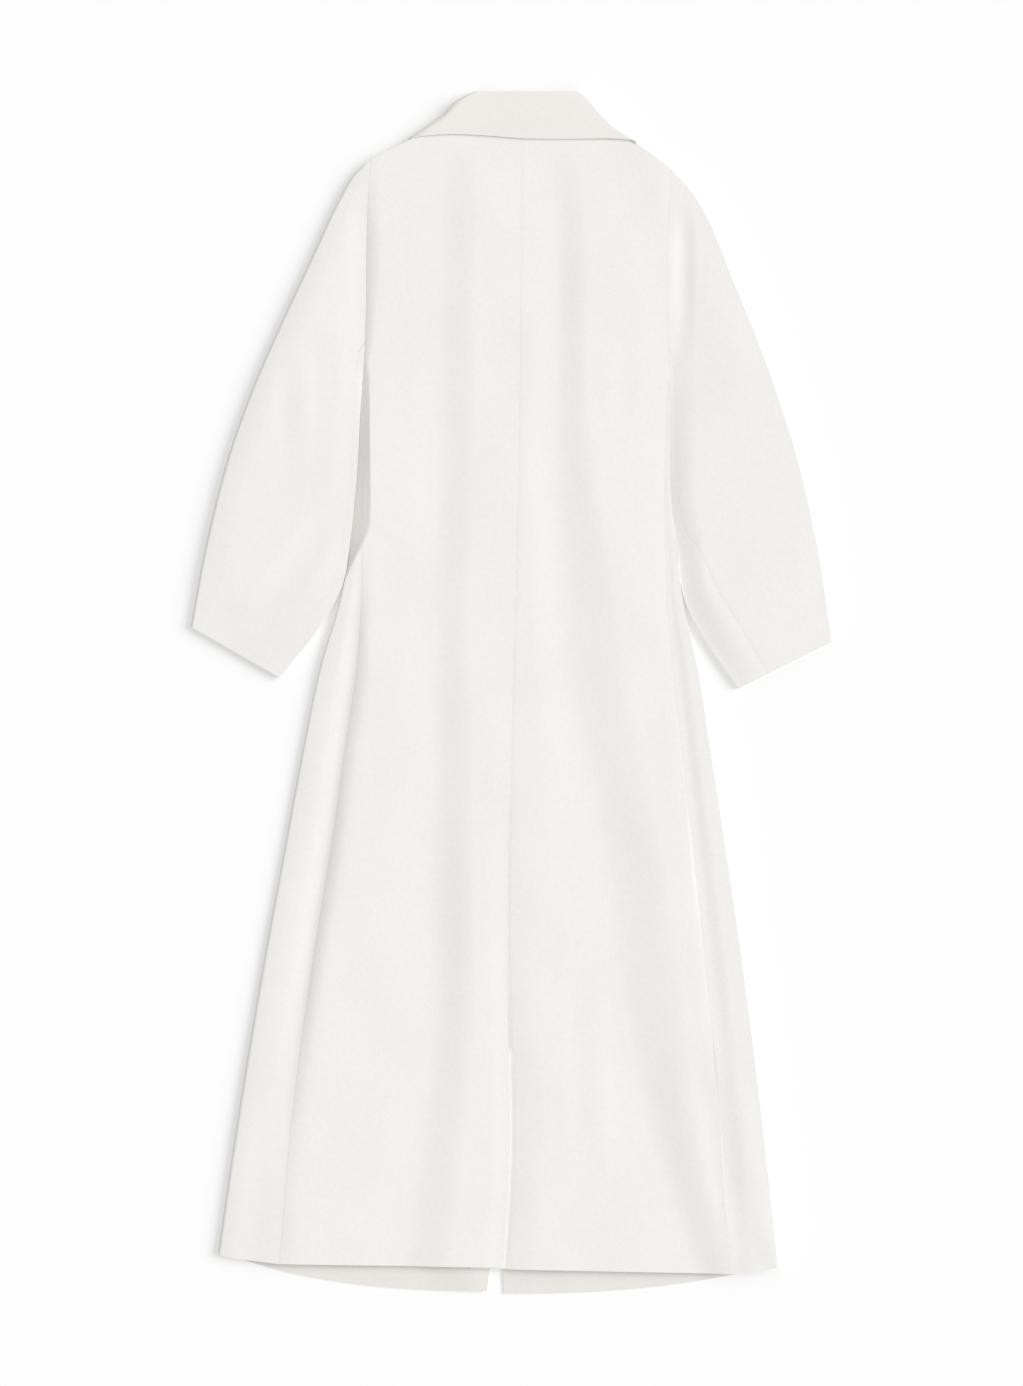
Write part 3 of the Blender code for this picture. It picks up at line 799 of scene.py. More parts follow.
@dataclass(frozen=True)
class Horn:
    """Satin, horn-like button material, pale cream with faint streaks.

    Attributes:
        pale: Main colour.
        streak: Colour of the streaks.
        pale_tone: Tone from which the horn is pale.
        streak_tone: Tone up to which it is a streak.
        grain: Grain of the streaks, along them.
        fineness: How many times longer than wide the streaks are.
        roughness: Of the satin surface.
        roughness_spread: How much rougher or smoother the streaks make it.
    """

    pale: Colour = (0.80, 0.77, 0.70, 1.0)
    streak: Colour = (0.66, 0.60, 0.50, 1.0)
    pale_tone: float = 0.6
    streak_tone: float = 0.38
    grain: Grain = Grain(70.0, 4.0)
    fineness: float = 4.0
    roughness: float = 0.34
    roughness_spread: float = 0.08

    def material(self) -> bpy.types.Material:
        """Makes the material.

        Returns:
            The new material.
        """
        material, shader = new_material("pale_horn")
        tree = NodeTree(material)
        streaks = tree.noise(tree.scaled_along(tree.place_in_object(), self.fineness), self.grain)
        ramp = tree.ramp(streaks, (self.streak_tone, self.streak), (self.pale_tone, self.pale))
        tree.link(ramp, shader.inputs["Base Color"])
        rough = tree.spread(streaks, self.roughness, self.roughness_spread)
        tree.link(rough, shader.inputs["Roughness"])
        return material


@dataclass(frozen=True)
class Thread:
    """Twisted sewing thread.

    Attributes:
        pale: Colour of the strands.
        deep: Colour between them.
        pale_tone: Tone from which the thread is pale.
        deep_tone: Tone up to which it is deep.
        twist_scale: Fineness of the twist.
        twist_wander: How unevenly it runs.
        roughness: Of the strands.
        bump_strength: How strongly the strands shade.
        bump_metres: Their height.
    """

    pale: Colour = (0.80, 0.78, 0.72, 1.0)
    deep: Colour = (0.60, 0.57, 0.50, 1.0)
    pale_tone: float = 0.7
    deep_tone: float = 0.2
    twist_scale: float = 700.0
    twist_wander: float = 1.5
    roughness: float = 0.7
    bump_strength: float = 0.4
    bump_metres: float = 0.0001

    def material(self) -> bpy.types.Material:
        """Makes the material.

        Returns:
            The new material.
        """
        material, shader = new_material("ivory_thread")
        tree = NodeTree(material)
        twist = tree.node("ShaderNodeTexWave")
        twist.bands_direction = "DIAGONAL"
        twist.inputs["Scale"].default_value = self.twist_scale
        twist.inputs["Distortion"].default_value = self.twist_wander
        tree.link(tree.place_in_object(), twist.inputs["Vector"])
        strands = twist.outputs["Fac"]
        ramp = tree.ramp(strands, (self.deep_tone, self.deep), (self.pale_tone, self.pale))
        tree.link(ramp, shader.inputs["Base Color"])
        bump = tree.bump(strands, self.bump_strength, self.bump_metres)
        tree.link(bump, shader.inputs["Normal"])
        shader.inputs["Roughness"].default_value = self.roughness
        return material


@dataclass(frozen=True)
class Paper:
    """Plain pale matt floor with a faint glow.

    Attributes:
        pale: Its colour.
        roughness: Of its surface.
        glow: Strength of the glow.
    """

    pale: Colour = (0.62, 0.62, 0.62, 1.0)
    roughness: float = 1.0
    glow: float = 0.345

    def material(self) -> bpy.types.Material:
        """Makes the material.

        Returns:
            The new material.
        """
        material, shader = new_material("white_floor")
        shader.inputs["Base Color"].default_value = self.pale
        shader.inputs["Roughness"].default_value = self.roughness
        shader.inputs["Specular IOR Level"].default_value = 0.0
        shader.inputs["Emission Color"].default_value = WHITE
        shader.inputs["Emission Strength"].default_value = self.glow
        return material


def new_material(name: str) -> tuple[bpy.types.Material, bpy.types.Node]:
    """Starts a node material.

    Args:
        name: Its name.

    Returns:
        The material and its shader node.
    """
    material = bpy.data.materials.new(name)
    material.use_nodes = True
    return material, material.node_tree.nodes["Principled BSDF"]


class NodeTree:
    """Short ways to add the nodes that the finishes share."""

    def __init__(self, material: bpy.types.Material) -> None:
        """Keeps the material's node tree."""
        self.tree = material.node_tree

    def node(self, kind: str) -> bpy.types.Node:
        """Adds a node of a kind."""
        return self.tree.nodes.new(kind)

    def link(self, source: bpy.types.NodeSocket, target: bpy.types.NodeSocket) -> None:
        """Joins an output to an input."""
        self.tree.links.new(source, target)

    def place_in_object(self) -> bpy.types.NodeSocket:
        """Adds the object's own coordinates."""
        return self.node("ShaderNodeTexCoord").outputs["Object"]

    def scaled_along(self, vector: bpy.types.NodeSocket, scale: float) -> bpy.types.NodeSocket:
        """Scales coordinates down the coat, along Y.

        Args:
            vector: The coordinates.
            scale: Below 1 it draws a pattern out, above 1 it presses it together.

        Returns:
            The scaled coordinates.
        """
        mapping = self.node("ShaderNodeMapping")
        mapping.inputs["Scale"].default_value = (1.0, scale, 1.0)
        self.link(vector, mapping.inputs["Vector"])
        return mapping.outputs["Vector"]

    def noise(self, vector: bpy.types.NodeSocket, grain: Grain) -> bpy.types.NodeSocket:
        """Adds a noise texture.

        Args:
            vector: Where it is read.
            grain: Its fineness.

        Returns:
            Its value.
        """
        noise = self.node("ShaderNodeTexNoise")
        noise.inputs["Scale"].default_value = grain.scale
        noise.inputs["Detail"].default_value = grain.layers
        self.link(vector, noise.inputs["Vector"])
        return noise.outputs["Fac"]

    def blend(
        self, first: bpy.types.NodeSocket, second: bpy.types.NodeSocket, share: float
    ) -> bpy.types.NodeSocket:
        """Mixes two values.

        Args:
            first: The one.
            second: The other.
            share: Weight of the second.

        Returns:
            The mixed value.
        """
        mixer = self.node("ShaderNodeMix")
        mixer.inputs["Factor"].default_value = share
        self.link(first, mixer.inputs["A"])
        self.link(second, mixer.inputs["B"])
        return mixer.outputs["Result"]

    def ramp(
        self, value: bpy.types.NodeSocket, low: tuple[float, Colour], high: tuple[float, Colour]
    ) -> bpy.types.NodeSocket:
        """Turns a value into a colour between two.

        Args:
            value: The value.
            low: Where the first colour ends, and the colour.
            high: Where the second colour starts, and the colour.

        Returns:
            The colour.
        """
        ramp = self.node("ShaderNodeValToRGB")
        for element, (position, colour) in zip(ramp.color_ramp.elements, (low, high)):
            element.position = position
            element.color = colour
        self.link(value, ramp.inputs["Fac"])
        return ramp.outputs["Color"]

    def spread(self, value: bpy.types.NodeSocket, middle: float, spread: float) -> bpy.types.NodeSocket:
        """Maps a value from 0 to 1 onto a range.

        Args:
            value: The value.
            middle: Middle of the range.
            spread: From the middle to either end.

        Returns:
            The mapped value.
        """
        mapper = self.node("ShaderNodeMapRange")
        mapper.inputs["To Min"].default_value = middle - spread
        mapper.inputs["To Max"].default_value = middle + spread
        self.link(value, mapper.inputs["Value"])
        return mapper.outputs["Result"]

    def bump(self, height: bpy.types.NodeSocket, strength: float, metres: float) -> bpy.types.NodeSocket:
        """Adds a bump.

        Args:
            height: Its height from 0 to 1.
            strength: How strongly it shades.
            metres: Height of 1.

        Returns:
            The normal.
        """
        bump = self.node("ShaderNodeBump")
        bump.inputs["Strength"].default_value = strength
        bump.inputs["Distance"].default_value = metres
        self.link(height, bump.inputs["Height"])
        return bump.outputs["Normal"]


@dataclass
class Tailor:
    """Makes and dresses the pieces of cloth.

    Attributes:
        wool: Material of the cloth's outer side.
        reverse: Material of its inner side, coloured darker and warmer than the outer side as painted shade.
        rim: Width of the softened edges of a wall.
        rim_steps: Steps of the softening.
        rim_angle: Edges sharper than this, in radians, are softened.
    """

    wool: bpy.types.Material
    reverse: bpy.types.Material
    rim: float = 0.12
    rim_steps: int = 2
    rim_angle: float = math.radians(50)

    def sheet(
        self,
        node: str,
        surface: Surface,
        across: Array,
        along: Array,
        wall: float,
        cut: Cut,
    ) -> None:
        """Args:
            node: The solid that it stands for.
            surface: Its outer surface.
            across: Places across it.
            along: Places along it.
            wall: Thickness of the cloth.
            cut: Its flat cut.
        """
        points = surface(*np.meshgrid(across, along))
        rows, columns = points.shape[:2]
        bm = bmesh.new()
        bmesh.ops.create_grid(bm, x_segments=columns - 1, y_segments=rows - 1, size=1.0)
        for vert, point in zip(bm.verts, points.reshape(-1, 3)):
            vert.co = point
        bm.normal_update()
        top = max(bm.faces, key=lambda face: face.calc_center_median().z)
        if top.normal.z < 0:
            bmesh.ops.reverse_faces(bm, faces=bm.faces)
        bm.normal_update()
        # the wall's inner side stays above the surface that the coat lies on
        for vert in bm.verts:
            vert.co.z += max(vert.normal.z * wall * MM - vert.co.z, 0.0)
        piece = self.finish(node, bm)
        thickness = piece.modifiers.new("wall", "SOLIDIFY")
        thickness.thickness = wall * MM
        thickness.offset = -1.0
        thickness.material_offset = 1
        rim = piece.modifiers.new("soft_rim", "BEVEL")
        rim.width = self.rim * MM
        rim.segments = self.rim_steps
        rim.limit_method = "ANGLE"
        rim.angle_limit = self.rim_angle
        rim.harden_normals = True
        self.declare(piece, node, cut)

    def finish(self, node: str, bm: bmesh.types.BMesh) -> bpy.types.Object:
        """Makes an object of a mesh, and dresses it in wool.

        Args:
            node: The solid that it stands for.
            bm: The mesh, which is freed.

        Returns:
            The new object.
        """
        piece = add_object(f"{node}_cloth", bm, self.wool)
        piece.data.materials.append(self.reverse)
        return piece

    def declare(self, piece: bpy.types.Object, node: str, cut: Cut) -> None:
        """Says what a piece of cloth stands for, lies on and was cut from.

        Args:
            piece: The object.
            node: The solid that it stands for.
            cut: Its flat cut.
        """
        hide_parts(node)
        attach(piece, ROOT)
        LOG.info("%s: cloth of %.2f square metres", piece.name, cut.area)


def add_object(name: str, bm: bmesh.types.BMesh, material: bpy.types.Material) -> bpy.types.Object:
    """Makes a smooth-shaded object of a mesh.

    Args:
        name: Its name.
        bm: The mesh, which is freed.
        material: Its material.

    Returns:
        The new object.
    """
    mesh = bpy.data.meshes.new(name)
    bm.to_mesh(mesh)
    bm.free()
    mesh.shade_smooth()
    mesh.materials.append(material)
    piece = bpy.data.objects.new(name, mesh)
    bpy.context.scene.collection.objects.link(piece)
    return piece


@dataclass
class BodyForm:
    """The form that the back and the fronts share.

    Attributes:
        support: How far lapels and buttons hold the fronts off the surface.
        support_half_width: Half the width that they hold up.
        support_edge: Width over which they slope down beside it.
        support_end: Where they end.
        support_fade: Length over which they slope down below it.
        overlap_lift: Height of the left front where it lies on the right one.
        overlap_ramp: Width over which it climbs.
        overlap_lead: From the top of that slope to the right front's edge.
        brink_slope: How evenly the cloth falls into the deep gap: 1 for an even slope.
        lip_reach: Width over which the back drops at a side seam.
        centre_sink: How far the right back is drawn down at the centre seam.
        sink_share: More of that beside a deep dip, as a share of its depth.
        centre_reach: Width over which it is drawn down.
        dip_flat: Width of the dip beside the centre seam.
        dip_reach: Width of its slope.
        curl_reach: Width over which the left back's centre edge curls down.
        vent_top: Where the centre seam opens into the vent.
    """

    support: float = 3.3
    support_half_width: float = 128.0
    support_edge: float = 26.0
    support_end: float = 515.0
    support_fade: float = 130.0
    overlap_lift: float = CLOTH + 2 * GAP
    overlap_ramp: float = 55.0
    overlap_lead: float = 30.0
    brink_slope: float = 0.88
    lip_reach: float = 16.0
    centre_sink: float = 0.18
    sink_share: float = 0.36
    centre_reach: float = 5.0
    dip_flat: float = 2.0
    dip_reach: float = 38.0
    curl_reach: float = 24.0
    vent_top: float = 1063.0

    def __post_init__(self) -> None:
        """Makes the curves of the tables."""
        self.body = curves(BODY)
        self.heights = curves(HEIGHTS)
        self.front_edges = curves(FRONT_EDGES)
        self.top_line = curves(TOP_LINE)
        self.centre_dips = curves(CENTRE_DIPS)
        self.brink = curves(BRINK)
        self.valleys = [curves(LEFT_VALLEY), curves(RIGHT_VALLEY)]
        self.side_seams = {side: curves(rows) for side, rows in SIDE_SEAMS.items()}

    def edge(self, side: Side, down: Array) -> Array:
        """x of the coat's outline."""
        return self.body[f"{side.value}_edge"](down)

    def seam(self, side: Side, down: Array) -> Array:
        """x of the side seam."""
        return self.body[f"{side.value}_seam"](down)

    def seam_height(self, side: Side, down: Array) -> Array:
        """Height of the side seam."""
        return self.side_seams[side]["height"](down) - self.side_seams[side]["lip"](down)

    def brink_drop(self, x: Array, down: Array) -> Array:
        """How far the cloth has dropped into the deep gap beside the left sleeve."""
        past = np.clip((self.brink["x"](down) - x) / self.brink["reach"](down), 0.0, 1.0)
        return self.brink["depth"](down) * mix(past**3, past, self.brink_slope)

    def top(self, side: Side, share: Array) -> Array:
        """Where a back panel's top edge lies, from the centre seam (0) to the shoulder point (1)."""
        return self.top_line[side.value](np.clip(share, 0.0, 1.0))

    def top_share(self, side: Side, x: Array) -> Array:
        """Where a place lies between the centre seam and the shoulder point.

        Args:
            side: Which back panel.
            x: Places across the coat.

        Returns:
            0 at the centre seam to 1 at the shoulder point.
        """
        centre = BODY[0].centre
        shoulder = BODY[0].left_seam if side is Side.LEFT else BODY[0].right_seam
        return (x - centre) / (shoulder - centre)

    def front_support(self, x: Array, down: Array) -> Array:
        """Height of the fronts' underside over the lapels and buttons."""
        across = 1 - smooth((np.abs(x - MIDLINE) - self.support_half_width) / self.support_edge)
        return self.support * across * (1 - smooth((down - self.support_end) / self.support_fade))

    def front_floor(self, side: Side, x: Array, down: Array) -> Array:
        """Works out the height of a front's underside; the left front climbs over the right one.

        Args:
            side: Which front.
            x: Places across the coat.
            down: Places down the coat.

        Returns:
            The height there.
        """
        floor = self.front_support(x, down)
        if side is Side.LEFT:
            past = x - self.front_edges["right"](down) + self.overlap_lead + self.overlap_ramp
            floor = floor + self.overlap_lift * smooth(past / self.overlap_ramp)
        return floor

    def sway(self, x: Array, down: Array) -> Array:
        """Height that the long valleys add to the back, with its two sides level.

        Args:
            x: Places across the coat.
            down: Places down the coat.

        Returns:
            The height there.
        """
        left = self.seam(Side.LEFT, down)
        right = self.seam(Side.RIGHT, down)
        lift = 0.0
        climb = 0.0
        for valley in self.valleys:
            past = x - valley["x"](down)
            fall = valley["fall"](down)
            rise = valley["rise"](down)
            lift = lift - fall * smooth(past / valley["fall_reach"](down) + 1)
            lift = lift + rise * smooth(past / valley["rise_reach"](down))
            climb = climb + rise - fall
        return lift - climb * (x - left) / (right - left)

    def back_height(self, side: Side, x: Array, down: Array) -> Array:
        """Height of the back's upper surface.

        Args:
            side: Which back panel.
            x: Places across the coat.
            down: Places down the coat.

        Returns:
            The height there.
        """
        middle = self.heights["middle"](down) + self.sway(x, down) + unevenness(x, down)
        middle = middle + creased(BACK_CREASES + STRIP_CREASES, x, down)
        inward = (self.seam(side, down) - x) * side.sign
        seam = self.side_seams[side]
        height = mix(seam["height"](down), middle, rising(inward / seam["roll"](down)))
        lip = seam["lip"](down) * (1 - rising(inward / self.lip_reach))
        return height - lip - self.centre_drop(side, x, down) - self.brink_drop(x, down)

    def centre_drop(self, side: Side, x: Array, down: Array) -> Array:
        """How far a back panel sinks towards the centre seam and the vent.

        Args:
            side: Which back panel.
            x: Places across the coat.
            down: Places down the coat.

        Returns:
            The drop there.
        """
        off = (x - self.body["centre"](down)) * side.sign
        if side is Side.LEFT:
            return self.centre_dips["curl"](down) * (1 - smooth(off / self.curl_reach))
        depth = self.centre_dips["depth"](down)
        drawn = self.centre_sink + self.sink_share * depth
        dip = depth * (1 - rising((off - self.dip_flat) / self.dip_reach))
        return dip + drawn * (1 - rising(off / self.centre_reach))


@dataclass
class Back:
    """The back: two panels joined at a centre seam that opens into a vent.

    Attributes:
        form: The form of the body.
        cuts: Flat cuts of the panels.
        vent_underlap: How far the right panel lies below the left one at the vent.
        vent_slope: Length over which the underlap widens at the vent's top.
        columns: Steps across a panel.
        rows: Steps along a panel.
        crowding: How much the columns crowd towards the seams.
    """

    form: BodyForm
    cuts: dict[Side, Cut]
    vent_underlap: float = 36.0
    vent_slope: float = 20.0
    columns: int = 84
    rows: int = 330
    crowding: float = 0.7

    def surface(self, side: Side) -> Surface:
        """Makes the upper surface of a panel.

        Args:
            side: Which panel.

        Returns:
            The surface.
        """
        form = self.form
        hem = HEMS[side]

        def points(across: Array, along: Array) -> Array:
            """Points of the surface.

            Args:
                across: From the centre edge (0) to the side (1).
                along: From the top (0) to the hem (1).

            Returns:
                The points.
            """
            down = mix(form.top(side, across), mix(hem.centre, hem.side_seam, across), along)
            centre = form.body["centre"](down) + side.sign * SEAM_GAP / 2
            if side is Side.RIGHT:
                centre = centre - self.vent_underlap * smooth((down - form.vent_top) / self.vent_slope)
            x = mix(centre, form.seam(side, down) - side.sign * SEAM_GAP / 2, across)
            return place(x, down, form.back_height(side, x, down))

        return points

    def build(self, tailor: Tailor) -> None:
        """Lays both panels.

        Args:
            tailor: Who makes the cloth.
        """
        across = crowded(self.columns, self.crowding)
        along = np.linspace(0.0, 1.0, self.rows + 1)
        for side in Side:
            node = f"back_{side.value}"
            tailor.sheet(node, self.surface(side), across, along, CLOTH, self.cuts[side])


@dataclass
class Fronts:
    """The fronts, which lie below the back and come round to it at the sides.

    Attributes:
        form: The form of the body.
        cuts: Flat cuts of the fronts.
        edge_drop: How much lower than its crest a side strip is at the folded edge.
        edge_round: Width over which its folded edge is rounded.
        round_share: At most this share of a narrow strip.
        foot_share: How far it sinks just beside its seam, as a share of the back's lip.
        foot_reach: Width over which it sinks there.
        roll: Width over which a strip swells from the fold.
        roll_share: At most this share of a narrow strip.
        valley: Width over which a strip rises again to its full height.
        valley_share: At most this share of a narrow strip.
        full: Width at which a strip stands its full height.
        curl_start: Where the fronts start to turn up, just above the underarm.
        curl_end: Where they are turned up.
        neck_point: Share of the top line where neck and shoulder meet.
        shoulder_inset: How far below the back's top edge a front's top edge lies.
        shoulder_turn: Length over which a front turns up to the back at the shoulder seam.
        turn_start: Share of the top line, under the collar, where it starts to turn up.
        turn_fade: Share over which it does.
        turn_full: Height of the gap that it closes with its edge upright.
        turn_share: Share of the front's length with finer steps, at the shoulder.
        turn_rows: Steps there.
        least_height: Of the folded strip, whose two walls lie on each other there.
        hem_fullness: How early its hem bows down from the folded edge.
        columns: Steps across the strip, round the fold and across the rest.
        rows: Steps along a front.
    """

    form: BodyForm
    cuts: dict[Side, Cut]
    edge_drop: dict[Side, float]
    edge_round: dict[Side, float]
    round_share: dict[Side, float]
    foot_share: float = 0.4
    foot_reach: float = 6.0
    roll: float = 22.0
    roll_share: float = 0.75
    valley: float = 26.0
    valley_share: float = 0.4
    full: float = 40.0
    curl_start: float = 280.0
    curl_end: float = 322.0
    neck_point: float = 0.47
    shoulder_inset: float = GAP
    shoulder_turn: float = 5.0
    turn_start: float = 0.55
    turn_fade: float = 0.15
    turn_full: float = 5.0
    turn_share: float = 0.005
    turn_rows: int = 14
    least_height: float = 2 * CLOTH + GAP
    hem_fullness: float = 2.4
    columns: tuple[int, int, int] = (26, 8, 44)
    rows: int = 330

    def strip_height(self, side: Side, inward: Array, strip: Array, down: Array) -> Array:
        """Height of a front's side strip.

        Args:
            side: Which front.
            inward: Distance in from its folded edge.
            strip: Width of the strip.
            down: Places down the coat.

        Returns:
            The height there.
        """
        wide = smooth(strip / self.full)
        roll = np.minimum(self.roll, self.roll_share * strip) + TINY
        valley = np.minimum(self.valley, self.valley_share * strip) + TINY
        foot_reach = np.minimum(self.foot_reach, self.valley_share * strip / 2) + TINY
        from_seam = strip - inward
        seam = self.form.side_seams[side]
        foot = self.foot_share * seam["lip"](down) * wide
        crest = (seam["crest"](down) * wide + foot) * smooth((from_seam - foot_reach) / valley)
        lowered = self.edge_drop[side] * wide * (1 - rising(inward / roll))
        x = self.form.edge(side, down) - side.sign * inward
        flat = self.form.seam_height(side, down) - foot * rising(from_seam / foot_reach) + crest - lowered
        flat = np.maximum(flat - self.form.brink_drop(x, down), self.least_height)
        edge_round = np.minimum(self.edge_round[side], self.round_share[side] * strip) + TINY
        return flat - self.fold_height(side, strip, down) * (1 - rounded(inward / edge_round))

    def fold_height(self, side: Side, strip: Array, down: Array) -> Array:
        """Half the height of the strip's folded edge, which is the height of the fold's middle.

        Args:
            side: Which front.
            strip: Width of the strip.
            down: Places down the coat.

        Returns:
            The height there.
        """
        rise = self.form.side_seams[side]["crest"](down) - self.edge_drop[side]
        rise = rise * smooth(strip / self.full)
        rise = rise - self.form.brink_drop(self.form.edge(side, down), down)
        return np.maximum(self.form.seam_height(side, down) + rise, self.least_height) / 2

    def turned_up(self, side: Side, x: Array, below_top: Array, down: Array, z: Array) -> Array:
        """Turns a front's top up to the back, which it is sewn to along the shoulder.

        Args:
            side: Which front.
            x: Places across the coat.
            below_top: Distance below the front's top edge.
            down: Places down the coat.
            z: Height of the flat front.

        Returns:
            The height there.
        """
        back = self.form.back_height(side, x, down)
        gap = np.maximum(back - 2 * CLOTH - z, 0.0)
        upright = smooth(gap / self.turn_full)
        rise = gap + (CLOTH - SEAM_GAP) * upright
        share = smooth((self.form.top_share(side, x) - self.turn_start) / self.turn_fade)
        return z + rise * share * (1 - rounded(below_top / self.shoulder_turn))

    def surface(self, side: Side) -> Surface:
        """Makes the outer surface of a front.

        Args:
            side: Which front.

        Returns:
            The surface.
        """
        form = self.form
        hem = HEMS[side]
        shoulder_x = form.edge(side, form.top(side, 1.0))
        neck_x = form.front_edges[side.value](form.top(side, self.neck_point))

        def points(across: Array, along: Array) -> Array:
            """Points of the surface.

            Args:
                across: 0 to 1 on the strip that shows, from its seam to the fold, 1 to 2 round the fold, and
                    2 to 3 below the back, as far as the free edge.
                along: From the top (0) to the hem (1).

            Returns:
                The points.
            """
            on_strip = np.clip(across, 0, 1)
            below = np.clip(across - 2, 0, 1)
            turn = quarter_turn(across, 1)
            strip_hem = mix(hem.side_seam, hem.fold, on_strip)
            lower_hem = mix(hem.fold, hem.front_edge, 1 - (1 - below) ** self.hem_fullness)
            top = form.top(side, form.top_share(side, mix(shoulder_x, neck_x, below))) + self.shoulder_inset
            down = mix(top, np.where(across > 1, lower_hem, strip_hem), along)
            edge = form.edge(side, down)
            strip = np.maximum((edge - form.seam(side, down)) * side.sign - SEAM_GAP / 2, 0.0)
            span = (edge - form.front_edges[side.value](down)) * side.sign
            inward = strip * (1 - np.sin(on_strip * math.pi / 2))
            inward = np.where(across > 1, FOLD * (1 - np.cos(turn)), inward)
            inward = np.where(across > 2, mix(FOLD, span, below), inward)
            curl = smooth((down - self.curl_start) / (self.curl_end - self.curl_start))
            folded = across < 2
            shown = self.strip_height(side, inward, strip, down)
            inward = np.where(folded, mix(SEAM_GAP / 2 + FOLD * across / 2, inward, curl), inward)
            x = edge - side.sign * inward
            shown = shown + creased(STRIP_CREASES, x, down) * rising(inward / self.roll)
            z = np.where(across > 1, self.fold_height(side, strip, down) * (1 - np.sin(turn)), shown)
            z = np.where(folded, z * curl, form.front_floor(side, x, down))
            return place(x, down, self.turned_up(side, x, down - top, down, z))

        return points

    def build(self, tailor: Tailor) -> None:
        """Lays both fronts.

        Args:
            tailor: Who makes the cloth.
        """
        across = stretches(0.0, *zip(STRETCH_ENDS, self.columns))
        along = stretches(0.0, (self.turn_share, self.turn_rows), (1.0, self.rows))
        for side in Side:
            node = f"front_{side.value}"
            tailor.sheet(node, self.surface(side), across, along, CLOTH, self.cuts[side])


